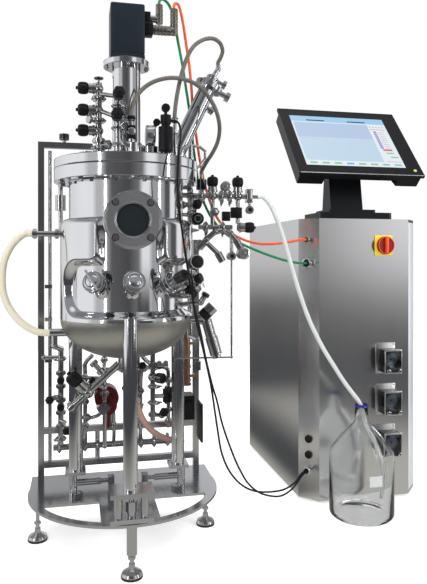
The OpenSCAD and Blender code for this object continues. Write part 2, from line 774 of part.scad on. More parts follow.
module drive_motor() {
    corner = 10;
    side = motor_w / 2;
    outline = [
        [side - corner, -side], [side, corner - side], [side, side - corner], [side - corner, side],
        [corner - side, side], [-side, side - corner], [-side, corner - side], [corner - side, -side]
    ];
    color("darkslategray") {
        translate([0, 0, motor_low]) linear_extrude(motor_top - motor_low - 6) polygon(outline);
        translate([0, 0, motor_top - 6]) linear_extrude(6) offset(delta = -4) polygon(outline);
        // Output shaft and the coupling that ends just above the agitator shaft
        translate([0, 0, shaft_top + gap]) cylinder(h = motor_low - shaft_top - gap, r = 9);
        translate([0, 0, shaft_top + gap]) cylinder(h = 46, r = 24);
    }
}

module motor_connectors() {
    color("dimgray") {
        translate([motor_w / 2, -16, 1662]) cube([22, 32, 34]);
        rod([74, 0, 1679], [96, 0, 1679], 11);
        translate([104, 0, 1666]) cylinder(h = 60, r = 11);
        translate([motor_w / 2, -17, 1624]) cube([30, 34, 38]);
        rod([82, 0, 1645], [152, 0, 1645], 14);
        translate([152, 0, 1634]) cylinder(h = 82, r = 12);
    }
}

// Exhaust condenser, leaning to the right, with its clamped head and outlet pipe
module condenser() {
    low = [154, 40, lid_top + 16];
    top = [272, 40, 1480];
    out = unit(top - low);
    color("silver") {
        difference() {
            rod(low - 20 * out, top, 28);
            translate([100, -20, lid_top - 30]) cube([120, 120, 46]);
        }
        union_clamp(low + 28 * out, out, 36);
        rod(top - 3 * out, top + 12 * out, 47);
        rod(top + 12 * out, top + 24 * out, 30);
        along(top + 4.5 * out, top + 4.5 * out + [out[2], 0, -out[0]]) {
            translate([0, 0, 40]) cylinder(h = 30, r = 9);
            translate([0, 0, 64]) cylinder(h = 14, r = 16);
        }
        pipe_run([top + 18 * out, top + 47 * out, [307, 41, 1545], [307, 41, 1558]], 8);
        union_clamp(top + 36 * out, out, 21);
        along(top + 36 * out, top + 36 * out + [out[2], 0, -out[0]]) {
            translate([0, 0, 18]) cylinder(h = 26, r = 6);
            translate([0, 0, 38]) cylinder(h = 12, r = 14);
        }
        // Small clamped branch on its right side, and the return line to the vessel's edge
        rod([255, 40, 1426], [282, 40, 1406], 7);
        rod([276, 40, 1410.5], [290, 40, 1400], 12);
        difference() {
            pipe_run([[162, -60, lid_top - 8], [162, -60, 1236], [171, -58, 1256], [200, -40, 1274],
                      [235, -10, 1274], [255, 5, 1264], [256, 8, 1240], [238, 5, 1216], [214, 1, 1200]], 4.5);
            translate([0, 0, lid_under]) cylinder(h = lid_t, r = flange_r);
        }
        translate([199, -40, lid_top]) cylinder(h = 18, r = 11);
        translate([199, -40, lid_top + 18]) cylinder(h = 37, r = 7.5);
    }
}

// Foam probe, pressure gauge and small fittings on the lid
module lid_sensors() {
    color("dimgray") {
        translate([108, -120, lid_top + 12]) {
            cylinder(h = 10, r = 17);
            translate([0, 0, 10]) cylinder(h = 72, r = 22);
            translate([0, 0, 82]) cylinder(h = 10, r = 13);
            translate([0, 0, 92]) cylinder(h = 26, r = 16);
            translate([0, 0, 118]) cylinder(h = 12, r = 5);
        }
        rod([108, -125, 1368], [108, -115, 1368], 13);
        rod([122, -120, 1330], [128, -120, 1330], 5);
        // Gauge, its dial edge-on to the front
        translate([68, -72, lid_top + 40]) cylinder(h = 22, r = 6);
        rod([54, -72, 1290], [80, -72, 1290], 33);
        rod([68, -72, 1290], [86, -72, 1331], 5);
        rod([87, -76, 1334], [87, -66, 1334], 11);
        // Riser that the vent hose starts from
        translate([144, -66, lid_top + 14]) cylinder(h = 1352 - lid_top - 14, r = 5);
        translate([144, -66, 1336]) cylinder(h = 14, r = 8.5);
        // Riser that the rinse hose starts from, with its tee
        translate([6, -98, lid_top + 46]) cylinder(h = 1344 - lid_top - 46, r = 9);
        translate([6, -98, lid_top + 58]) cylinder(h = 40, r = 14);
        translate([6, -98, 1294]) rotate([90, 0, 0]) cylinder(h = 24, r = 11);
        translate([6, -98, 1330]) cylinder(h = 12, r = 13);
    }
}

module feed_manifold() {
    color("silver") {
        rod([-89, -60, lid_top + 18], [-89, -60, 1448], 10);
        for (z = [1248, 1272, 1333, 1399]) union_clamp([-89, -60, z], [0, 0, 1], 20);
        // Capped side branches
        for (z = [1272, 1333]) {
            rod([-89, -60, z], [-121, -78, z], 7);
            rod([-114, -74, z], [-121, -78, z], 13);
        }
        rod([-89, -60, 1258], [-60, -78, 1258], 7);
        rod([-66, -74.3, 1258], [-57, -79.9, 1258], 14);
        translate([-89, -60, 1448]) cylinder(h = 12, r = 3.5);
        translate([-89, -60, 1460]) cylinder(h = 4, r = 14);
        for (one = feed_valves) valve(one[0], one[1]);
        // Second riser, with the cross pipes to the first
        rod([-33, -100, lid_top + 12], [-33, -100, 1400], 11.5);
        for (z = [1256, 1304, 1370]) union_clamp([-33, -100, z], [0, 0, 1], 18);
        // Branch to the rinse riser
        pipe_run([[-33, -100, 1304], [-14, -112, 1322], [-4, -108, 1322]], 5);
        rod([-89, -60, 1415], [-33, -100, 1400], 6.5);
        rod([-89, -60, 1365], [-38, -100, 1338], 6.5);
    }
}

module feed_knob(i) {
    color("black") knob(feed_valves[i][0], feed_valves[i][1]);
}
module feed_knob_1() { feed_knob(0); }
module feed_knob_2() { feed_knob(1); }
module feed_knob_3() { feed_knob(2); }
module feed_knob_4() { feed_knob(3); }
module feed_knob_5() { feed_knob(4); }

// ---- outlet manifold on the right ----

module outlet_manifold() {
    color("silver") {
        for (one = outlet_valves) valve(one[0], one[1]);
        // Upper line from the vessel wall to the hose nipple
        difference() {
            rod([150, 0, 1118], [400, 0, 1118], pipe_r);
            vessel_form();
        }
        for (x = [240, 308, 336]) union_clamp([x, 0, 1118], [1, 0, 0], 17);
        rod([322, 0, 1118], [322, 0, 1140], 5);
        rod([322, 9, 1150], [322, -9, 1150], 16);
        translate([392, -13, 1098]) cube([20, 26, 44]);
        rod([404, 0, 1118], [432, 0, 1118], 6);
        rod([404, 6, 1074], [404, -6, 1074], 13);
        rod([404, 0, 1099], [404, 0, 1082], 5);
        // Rear valve, its handle fixed, that the rinse hose comes down to
        pipe_run([[226, 120, 1090], [226, 60, 1120], [254, 60, 1120]], 7);
        translate([254, 60, 1120]) sphere(r = 15);
        translate([254, 60, 1120]) cylinder(h = 28, r = 9);
        translate([254, 60, 1144]) cylinder(h = 34, r = 17);
        translate([254, 60, 1176]) cylinder(h = 20, r = 6.5);
        // Lower line under the upper one, with the hexagon plug
        rod([364, 0, 1118], [364, 0, 1017], 7);
        rod([232, 0, 1016], [357, 0, 1016], pipe_r);
        rod([279, 0, 1118], [279, 0, 1016], 7);
        rod([279, -2, 1063], [279, -28, 1063], 11);
        translate([279, -28, 1063]) rotate([90, 0, 0]) cylinder(h = 8, r = 15.5, $fn = 6);
        for (x = [256, 312]) union_clamp([x, 0, 1016], [1, 0, 0], 16);
        // Goose neck below, with its lever clamp, capped ends and condensate line
        pipe_run([[228, 0, 944], [258, -4, 976], [286, -8, 1000], [314, -8, 1006],
                  [338, -8, 996], [357, -8, 974]], 9);
        rod([232, -1, 950], [247, -3, 966], 15);
        rod([357, -8, 974], [373, -8, 946], 12);
        rod([379, 7, 930], [379, -22, 930], 19);
        rod([300, -8, 1003], [300, -4, 1016], 6);
        translate([341, -8, 912]) cylinder(h = 82, r = 6);
        rod([339.5, 6, 921], [339.5, -22, 921], 13);
        rod([341, -8, 915], [341, -8, 590], 3);
        translate([341, -8, 590]) sphere(r = 5);
        difference() {
            rod([341, -8, 590], [166, 40, 585], 3);
            leg_round(right_leg);
        }
        rod([258, -20, 962], [296, -20, 926], 8);
        rod([292, -20, 932], [308, -20, 904], 12);
        rod([250, -20, 960], [250, 0, 960], 6);
    }
}

module solenoid_coils() {
    color("black") {
        translate([337, -22, 1046]) cube([36, 13, 34]);
        translate([308, -20, 1036]) cube([26, 13, 30]);
        rod([222, -46, 1040], [222, -8, 1040], 19);
    }
}

module outlet_knob(i) {
    color("black") knob(outlet_valves[i][0], outlet_valves[i][1]);
}
module outlet_knob_1() { outlet_knob(0); }
module outlet_knob_2() { outlet_knob(1); }
module outlet_knob_3() { outlet_knob(2); }

// ---- cabinet ----

// Plan of the cabinet with its two slanted front corners, smaller by inset
module cab_plan(inset = 0) {
    x0 = cab_x + inset;
    x1 = cab_x + cab_w - inset;
    y0 = cab_y + inset;
    y1 = cab_y + cab_d;
    polygon([
        [x0, y1], [x0, y0 + chamfer_y], [x0 + chamfer_x, y0],
        [x1 - chamfer_x, y0], [x1, y0 + chamfer_y], [x1, y1]
    ]);
}

module cabinet() {
    color("lightgray") {
        difference() {
            translate([0, 0, cab_foot]) linear_extrude(cab_h - cab_foot) cab_plan();
            translate([0, 0, cab_foot + cab_sheet]) linear_extrude(cab_h - cab_foot - 2 * cab_sheet)
                cab_plan(cab_sheet);
        }
        for (x = [cab_x + 70, cab_x + cab_w - 70]) for (y = [cab_y + 70, cab_y + cab_d - 60])
            translate([x, y, 0]) cylinder(h = cab_foot, r = 25);
    }
}

module cabinet_back() {
    color("lightgray") {
        translate([cab_x, cab_y + cab_d, cab_foot]) cube([cab_w, cab_sheet, cab_h - cab_foot]);
        for (i = [0 : 7]) translate([cab_x + 120, cab_y + cab_d + cab_sheet, 200 + 26 * i])
            cube([cab_w - 240, 3, 10]);
    }
}

// Unit vector out of the left slanted corner, where the cables go in
gland_way = unit([-chamfer_y, -chamfer_x, 0]);
function gland_foot(z) = [cab_x + chamfer_x / 2, cab_y + chamfer_y / 2, z];

module cable_glands() {
    color("dimgray") for (i = [0 : 4]) {
        foot = gland_foot(gland_z[i]);
        size = i == 1 ? 1.5 : i == 0 ? 1 : 1.1;
        if (i < 2 || i == 4) {
            rod(foot, foot + 6 * gland_way, 12 * size);
            along(foot + 6 * gland_way, foot + 7 * gland_way) cylinder(h = 9, r = 10.5 * size, $fn = 6);
            rod(foot + 15 * gland_way, foot + 21.6 * gland_way, 8.5 * size);
        } else {
            rod(foot, foot + 5 * gland_way, 14);
            rod(foot + 5 * gland_way, foot + 8 * gland_way, 11);
        }
    }
}

module switch_plate() {
    color("gold") translate([switch_spot[0], cab_y, switch_spot[1]]) {
        translate([-36, -4, -38]) cube([72, 4, 76]);
        rotate([90, 0, 0]) cylinder(h = 20, r = 8);
    }
}

module switch_knob() {
    color("crimson") translate([switch_spot[0], cab_y - 4 - gap, switch_spot[1]]) rotate([90, 0, 0])
        difference() {
            union() {
                cylinder(h = 14, r = 34);
                translate([-9, -32, 14]) cube([18, 64, 17]);
            }
            translate([0, 0, -1]) cylinder(h = 17, r = 8 + run);
        }
}

pump_face = 52;

module pump_heads() {
    color("dimgray") for (z = pump_z) translate([pump_x, cab_y, z]) {
        translate([-40, -4, -57]) cube([80, 4, 116]);
        difference() {
            translate([-31, -4 - pump_face, -46]) cube([66, pump_face, 84]);
            translate([2, -10, 2]) rotate([90, 0, 0]) cylinder(h = pump_face, r = 29);
        }
        translate([2, -10, 2]) rotate([90, 0, 0]) cylinder(h = 36, r = 4);
        translate([-33, -7 - pump_face, -48]) cube([70, 3, 88]);
        for (x = [-20, 24]) translate([x, -7 - pump_face, -38]) rotate([90, 0, 0]) cylinder(h = 12, r = 7);
    }
}

// Three-roller rotor of a hose pump
module pump_rotor(i) {
    color("silver") translate([pump_x + 2, cab_y - 11, pump_z[i] + 2]) rotate([90, 0, 0]) difference() {
        union() {
            cylinder(h = 3, r = 22);
            cylinder(h = 33, r = 9);
            translate([0, 0, 30]) cylinder(h = 3, r = 22);
            for (k = [0 : 2]) rotate([0, 0, 120 * k]) translate([18, 0, 2]) cylinder(h = 29, r = 7);
        }
        translate([0, 0, -1]) cylinder(h = 35, r = 4 + run);
    }
}
module pump_rotor_1() { pump_rotor(0); }
module pump_rotor_2() { pump_rotor(1); }
module pump_rotor_3() { pump_rotor(2); }

// ---- monitor ----

module monitor_stand() {
    color("darkslategray") {
        translate([monitor_x, 350, cab_h]) linear_extrude(30)
            polygon([[-142, -80], [-122, -96], [138, -96], [157, -80], [157, 90], [-142, 90]]);
        translate([monitor_x, 350, cab_h + 30]) linear_extrude(14)
            polygon([[-96, -60], [92, -60], [104, -48], [104, 80], [-96, 80]]);
        translate([monitor_x - 69, 0, 0]) rotate([90, 0, 90]) linear_extrude(138) polygon([
            [340, cab_h + 44], [430, cab_h + 44], [hinge_at[1] + 24, hinge_at[2] - 34],
            [hinge_at[1] - 12, hinge_at[2] - 34]
        ]);
        translate([monitor_x - 46, 0, 0]) rotate([90, 0, 90]) linear_extrude(92) polygon([
            [hinge_at[1] - 12, hinge_at[2] - 34], [hinge_at[1] + 24, hinge_at[2] - 34],
            [hinge_at[1] + 16, hinge_at[2]], [hinge_at[1] - 14, hinge_at[2]]
        ]);
        translate(hinge_at) rotate([0, 90, 0]) cylinder(h = 92, r = 18, center = true);
        translate(hinge_at) rotate([0, 90, 0]) cylinder(h = 140, r = 8, center = true);
    }
}

// Frame of the monitor: X across, Y back through its thickness, Z up its face
module on_monitor() {
    translate(monitor_low) rotate([-monitor_lean, 0, 0]) children();
}

screen_w = 410;
screen_h = 306;

module monitor_housing() {
    bezel_t = 12;
    color("black") {
        on_monitor() difference() {
            union() {
                translate([-monitor_w / 2, 0, 0]) cube([monitor_w, bezel_t, monitor_h]);
                translate([-monitor_w / 2 + 8, bezel_t, 8])
                    cube([monitor_w - 16, monitor_t - bezel_t, monitor_h - 16]);
            }
            translate([-screen_w / 2 - 12, -1, 46]) cube([screen_w, 4, screen_h]);
            translate([0, 34, 0]) rotate([-90, 0, 0]) linear_extrude(monitor_t)
                polygon([[-154, 1], [160, 1], [152, -38], [-128, -38]]);
        }
        // Ears that turn on the stand's hinge pin
        difference() {
            for (x = [-60, 52]) translate([monitor_x + x, 0, 0]) rotate([90, 0, 90]) linear_extrude(8)
                hull() {
                    translate([hinge_at[1], hinge_at[2]]) circle(r = 18);
                    for (s = [-34, 34]) translate([
                        hinge_at[1] + lean_out[1] * (hinge_back + 1) + lean_up[1] * s,
                        hinge_at[2] + lean_out[2] * (hinge_back + 1) + lean_up[2] * s
                    ]) circle(r = 4);
                }
            translate(hinge_at) rotate([0, 90, 0]) cylinder(h = 160, r = 8 + run, center = true);
        }
    }
}

module monitor_screen() {
    color("lightblue") on_monitor() translate([-screen_w / 2 - 12, 0.5, 46])
        cube([screen_w, 2.5, screen_h]);
}

// ---- bottle ----

// Wall profile of the bottle: raised foot, upright side, straight slanted shoulder and neck
module glass_bottle() {
    neck_r = 23;
    wall = 3.5;
    outside = [
        [0, 7], [70, 6], [88, 1], [96, 0], [104, 1.5], [110.5, 7], [bottle_r, 16], [bottle_r, 214],
        [bottle_r - 0.4, 221], [bottle_r - 2, 228], [bottle_r - 5, 236], [28, 329], [24.6, 334.5],
        [neck_r + 0.3, 341], [neck_r, 348], [neck_r, bottle_h - 1], [neck_r - 1, bottle_h]
    ];
    inside = [
        [neck_r - wall, bottle_h], [neck_r - wall, 348], [neck_r - wall + 0.3, 340], [21.4, 332.5],
        [25.4, 326.7], [bottle_r - 7.6, 233.7], [bottle_r - 5.3, 226.5], [bottle_r - wall - 0.4, 220.4],
        [bottle_r - wall, 214], [bottle_r - wall, 18], [106, 12], [98, 9.5], [0, 12]
    ];
    translate([bottle_at[0], bottle_at[1], 0]) {
        color("aliceblue") rotate_extrude($fn = 96) polygon(concat(outside, inside));
        // Pouring ring, moulded on to the neck
        color("royalblue") translate([0, 0, 379]) difference() {
            cylinder(h = 14, r = neck_r + 2.4);
            translate([0, 0, -1]) cylinder(h = 16, r = neck_r - 0.5);
        }
    }
}

// ---- hoses and cables ----

hose_r = 10.5;
cable_r = 4.5;
sensor_cable_r = 3.2;
braid_r = 6.5;
silicone_r = 7.5;

module jacket_hose() {
    color("wheat") swept(jacket_hose_path, hose_r, 12);
}

module green_cable() {
    color("green") swept(green_cable_path, cable_r);
}

module orange_cable() {
    color("orangered") swept(orange_cable_path, cable_r);
}

module foam_cable() {
    color("black") swept(foam_cable_path, sensor_cable_r);
}

module probe_cable() {
    color("black") swept(probe_cable_path, sensor_cable_r);
}

module vent_hose() {
    color("darkgray") swept(vent_hose_path, braid_r);
}

module rinse_hose() {
    color("darkgray") swept(rinse_hose_path, braid_r);
}

module feed_hose() {
    color("white") swept(feed_hose_path, silicone_r, 10);
}

module centred() {
    translate([-centre_x, -centre_y, 0]) children();
}

centred() base_plate();
centred() levelling_feet();
centred() support_legs();
centred() weigh_modules();
centred() rear_frame();
centred() service_pipes();
centred() circulation_pump();
centred() heat_exchanger();
centred() control_box();
centred() vessel();
centred() jacket();
centred() lid();
centred() lid_seal();
centred() flange_screws();
centred() sight_glass_ring();
centred() sight_glass_pane();
centred() port_plugs();
centred() sensor_probes();
centred() baffles();
centred() drain_valve();
centred() drain_knob();
centred() agitator_shaft();
centred() impellers();
centred() motor_lantern();
centred() drive_motor();
centred() motor_connectors();
centred() condenser();
centred() lid_sensors();
centred() feed_manifold();
centred() feed_knob_1();
centred() feed_knob_2();
centred() feed_knob_3();
centred() feed_knob_4();
centred() feed_knob_5();
centred() outlet_manifold();
centred() solenoid_coils();
centred() outlet_knob_1();
centred() outlet_knob_2();
centred() outlet_knob_3();
centred() cabinet();
centred() cabinet_back();
centred() monitor_stand();
centred() monitor_housing();
centred() monitor_screen();
centred() switch_plate();
centred() switch_knob();
centred() pump_heads();
centred() pump_rotor_1();
centred() pump_rotor_2();
centred() pump_rotor_3();
centred() cable_glands();
centred() glass_bottle();
centred() jacket_hose();
centred() green_cable();
centred() orange_cable();
centred() foam_cable();
centred() probe_cable();
centred() vent_hose();
centred() rinse_hose();
centred() feed_hose();
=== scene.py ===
import json
import math

import bmesh
import bpy
from mathutils import Matrix, Vector


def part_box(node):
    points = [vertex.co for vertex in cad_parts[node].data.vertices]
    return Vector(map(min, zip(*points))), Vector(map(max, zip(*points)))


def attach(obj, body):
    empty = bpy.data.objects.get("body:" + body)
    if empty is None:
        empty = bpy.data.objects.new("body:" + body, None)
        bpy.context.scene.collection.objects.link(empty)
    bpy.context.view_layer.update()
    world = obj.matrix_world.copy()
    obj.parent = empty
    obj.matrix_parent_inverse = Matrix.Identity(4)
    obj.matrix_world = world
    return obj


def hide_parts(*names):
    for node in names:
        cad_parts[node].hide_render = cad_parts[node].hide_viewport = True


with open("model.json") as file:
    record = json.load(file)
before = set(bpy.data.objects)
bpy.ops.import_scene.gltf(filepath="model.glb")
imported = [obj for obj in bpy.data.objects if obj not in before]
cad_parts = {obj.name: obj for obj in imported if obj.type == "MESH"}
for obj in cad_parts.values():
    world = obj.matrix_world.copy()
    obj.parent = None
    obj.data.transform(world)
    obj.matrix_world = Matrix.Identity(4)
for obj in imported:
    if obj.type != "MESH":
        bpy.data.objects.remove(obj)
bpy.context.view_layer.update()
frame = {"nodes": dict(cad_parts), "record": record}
nodes = frame["nodes"]
mm = 0.001
print("frame loaded with", len(nodes), "nodes")

# Places are in millimetres from the vessel's axis on the floor, as the agitator shaft gives it
shaftLow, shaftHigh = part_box("agitator_shaft")
vesselAxis = Vector(((shaftLow.x + shaftHigh.x) / 2, (shaftLow.y + shaftHigh.y) / 2, 0))


def place(x, y, z):
    return vesselAxis + Vector((x, y, z)) * mm


upWay, frontWay, rightWay = (0, 0, 1), (0, -1, 0), (1, 0, 0)


cameraSet = {"at": (-156.14, -1978.09, 915), "turn": -12.5, "lens": 38.2, "shiftY": -0.0582}


def makeCamera():
    data = bpy.data.cameras.new("camera")
    data.lens = cameraSet["lens"]
    data.sensor_width = 36
    data.sensor_fit = "AUTO"
    data.shift_y = cameraSet["shiftY"]
    data.clip_end = 100
    camera = bpy.data.objects.new("camera", data)
    camera.location = place(*cameraSet["at"])
    camera.rotation_euler = (math.radians(90), 0, math.radians(cameraSet["turn"]))
    bpy.context.scene.collection.objects.link(camera)
    bpy.context.scene.camera = camera


makeCamera()
print("camera made")


def newPiece(name, verts, faces, material=None, smooth=True):
    mesh = bpy.data.meshes.new(name)
    mesh.from_pydata([tuple(v) for v in verts], [], faces)
    mesh.validate()
    piece = bpy.data.objects.new(name, mesh)
    bpy.context.scene.collection.objects.link(piece)
    if smooth:
        mesh.shade_smooth()
    if material:
        mesh.materials.append(material)
    return piece


# Shapes gathered into one mesh: corners, faces and the material number of each face
def newShapes():
    return {"verts": [], "faces": [], "slots": []}


def addFaces(shapes, verts, faces, slot=0):
    base = len(shapes["verts"])
    shapes["verts"] += verts
    shapes["faces"] += [tuple(base + i for i in face) for face in faces]
    shapes["slots"] += [slot] * len(faces)


# A form turned about a line: radius and height pairs in mm, from a place along a way.
# The pairs run from its low end up the outside; a closed profile is a ring
def addTurned(shapes, at, way, profile, sides=32, slot=0, lobes=None, start=0.0, closed=False):
    way = Vector(way).normalized()
    side, up = crossWays(way)
    foot = place(*at)
    verts, faces, rings = [], [], []
    for radius, height in profile:
        if radius <= 0:
            rings.append([len(verts)])
            verts.append(foot + way * height * mm)
            continue
        ring = []
        for k in range(sides):
            a = start + 2 * math.pi * k / sides
            r = lobes(a, radius) if lobes else radius
            ring.append(len(verts))
            verts.append(foot + (way * height + (side * math.cos(a) + up * math.sin(a)) * r) * mm)
        rings.append(ring)
    for low, high in zip(rings, rings[1:]):
        if len(low) == 1 and len(high) == 1:
            continue
        for k in range(sides):
            n = (k + 1) % sides
            if len(low) == 1:
                faces.append((low[0], high[n], high[k]))
            elif len(high) == 1:
                faces.append((low[k], low[n], high[0]))
            else:
                faces.append((low[k], low[n], high[n], high[k]))
    if closed:
        for k in range(sides):
            n = (k + 1) % sides
            faces.append((rings[-1][k], rings[-1][n], rings[0][n], rings[0][k]))
    elif len(rings[0]) > 1:
        faces.append(tuple(reversed(rings[0])))
    if not closed and len(rings[-1]) > 1:
        faces.append(tuple(rings[-1]))
    addFaces(shapes, verts, faces, slot)


# A rounded block between two corners in mm, put in place by a matrix
def addBlock(shapes, low, high, bevel, matrix, slot=0, steps=2):
    work = bmesh.new()
    bmesh.ops.create_cube(work, size=1)
    size = [high[k] - low[k] for k in range(3)]
    middle = [(high[k] + low[k]) / 2 for k in range(3)]
    for vert in work.verts:
        vert.co = Vector([middle[k] + vert.co[k] * size[k] for k in range(3)])
    if bevel:
        bmesh.ops.bevel(work, geom=work.edges[:], offset=bevel, segments=steps, profile=0.5,
                        affect="EDGES", clamp_overlap=True)
    work.verts.index_update()
    verts = [matrix @ (vert.co * mm) for vert in work.verts]
    faces = [tuple(v.index for v in face.verts) for face in work.faces]
    work.free()
    addFaces(shapes, verts, faces, slot)


# A round bar through a list of points in mm
def addBar(shapes, points, radius, slot=0, sides=16, steps=4):
    line = [place(*p) for p in points]
    if len(line) > 2:
        line = smoothRoute(line, steps)
    verts, faces, _ = tubeMesh(line, radius * mm, sides)
    addFaces(shapes, verts, faces, slot)


def makePiece(name, shapes, body, slotNames, replaced=(), sharp=35):
    piece = newPiece(name, shapes["verts"], shapes["faces"])
    for slotName in slotNames:
        piece.data.materials.append(materials[slotName])
    for polygon, slot in zip(piece.data.polygons, shapes["slots"]):
        polygon.material_index = slot
    piece.data.set_sharp_from_angle(angle=math.radians(sharp))
    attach(piece, body)
    if replaced:
        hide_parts(*replaced)
    return piece


# Unit vectors square to a direction
def crossWays(way):
    way = way.normalized()
    helper = Vector((0, 0, 1)) if abs(way.z) < 0.9 else Vector((1, 0, 0))
    side = way.cross(helper).normalized()
    return side, way.cross(side).normalized()


def newGroup(name, kind, inputs, outputs):
    group = bpy.data.node_groups.new(name, kind)
    for label, socketKind, value in inputs:
        socket = group.interface.new_socket(label, in_out="INPUT", socket_type=socketKind)
        if value is not None:
            socket.default_value = value
    for label, socketKind in outputs:
        group.interface.new_socket(label, in_out="OUTPUT", socket_type=socketKind)
    return group, group.nodes.new("NodeGroupInput"), group.nodes.new("NodeGroupOutput")


def mathNode(tree, operation, first, second=None, third=None, clamp=False):
    node = tree.nodes.new("ShaderNodeMath")
    node.operation = operation
    node.use_clamp = clamp
    for i, value in enumerate((first, second, third)):
        if value is None:
            continue
        if isinstance(value, (int, float)):
            node.inputs[i].default_value = value
        else:
            tree.links.new(value, node.inputs[i])
    return node.outputs[0]


# A value that goes from 0 at one end to 1 at the other
def fade(tree, value, start, end):
    slope = 1 / (end - start)
    return mathNode(tree, "MULTIPLY_ADD", value, slope, -start * slope, clamp=True)


def mixColor(tree, factor, first, second, blend="MIX"):
    node = tree.nodes.new("ShaderNodeMix")
    node.data_type = "RGBA"
    node.blend_type = blend
    for socket, value in ((node.inputs[0], factor), (node.inputs[6], first), (node.inputs[7], second)):
        if isinstance(value, (int, float)):
            socket.default_value = value
        elif isinstance(value, tuple):
            socket.default_value = (*value, 1)
        else:
            tree.links.new(value, socket)
    return node.outputs[2]


# Fine parallel scratches: noise stretched along one axis
def makeGrainGroup():
    tree, start, end = newGroup(
        "brushGrain", "ShaderNodeTree",
        [("Vector", "NodeSocketVector", None), ("Stretch", "NodeSocketVector", (400, 400, 6)),
         ("Cloud", "NodeSocketFloat", 3.0)],
        [("Grain", "NodeSocketFloat"), ("Cloud", "NodeSocketFloat")],
    )
    scaled = tree.nodes.new("ShaderNodeVectorMath")
    scaled.operation = "MULTIPLY"
    tree.links.new(start.outputs["Vector"], scaled.inputs[0])
    tree.links.new(start.outputs["Stretch"], scaled.inputs[1])
    fine = tree.nodes.new("ShaderNodeTexNoise")
    fine.inputs["Scale"].default_value = 1
    fine.inputs["Detail"].default_value = 3
    tree.links.new(scaled.outputs[0], fine.inputs["Vector"])
    cloud = tree.nodes.new("ShaderNodeTexNoise")
    cloud.inputs["Detail"].default_value = 3
    tree.links.new(start.outputs["Vector"], cloud.inputs["Vector"])
    tree.links.new(start.outputs["Cloud"], cloud.inputs["Scale"])
    tree.links.new(fine.outputs["Fac"], end.inputs["Grain"])
    tree.links.new(cloud.outputs["Fac"], end.inputs["Cloud"])
    return tree


grainGroup = makeGrainGroup()


def newMaterial(name, color, metallic, roughness):
    material = bpy.data.materials.new(name)
    material.use_nodes = True
    tree = material.node_tree
    shader = tree.nodes["Principled BSDF"]
    shader.inputs["Base Color"].default_value = (*color, 1)
    shader.inputs["Metallic"].default_value = metallic
    shader.inputs["Roughness"].default_value = roughness
    return material, tree, shader


grainDepth = 0.0002  # metres


# Adds grain and cloud to a material: how much they change roughness, colour and height
def addGrain(tree, shader, color, roughness, stretch, cloud, roughSpread, tint, height):
    coords = tree.nodes.new("ShaderNodeTexCoord")
    grain = tree.nodes.new("ShaderNodeGroup")
    grain.node_tree = grainGroup
    grain.inputs["Stretch"].default_value = stretch
    grain.inputs["Cloud"].default_value = cloud
    tree.links.new(coords.outputs["Object"], grain.inputs["Vector"])
    both = mathNode(tree, "ADD", grain.outputs["Grain"], grain.outputs["Cloud"])
    centred = mathNode(tree, "SUBTRACT", both, 1.0)
    rough = mathNode(tree, "MULTIPLY_ADD", centred, roughSpread, roughness, clamp=True)
    tree.links.new(rough, shader.inputs["Roughness"])
    darker = tuple(c * (1 - tint) for c in color)
    lighter = tuple(min(1, c * (1 + tint)) for c in color)
    factor = mathNode(tree, "MULTIPLY_ADD", centred, 1.2, 0.5, clamp=True)
    tree.links.new(mixColor(tree, factor, darker, lighter), shader.inputs["Base Color"])
    if height:
        bump = tree.nodes.new("ShaderNodeBump")
        bump.inputs["Strength"].default_value = height
        bump.inputs["Distance"].default_value = grainDepth
        tree.links.new(grain.outputs["Grain"], bump.inputs["Height"])
        tree.links.new(bump.outputs["Normal"], shader.inputs["Normal"])


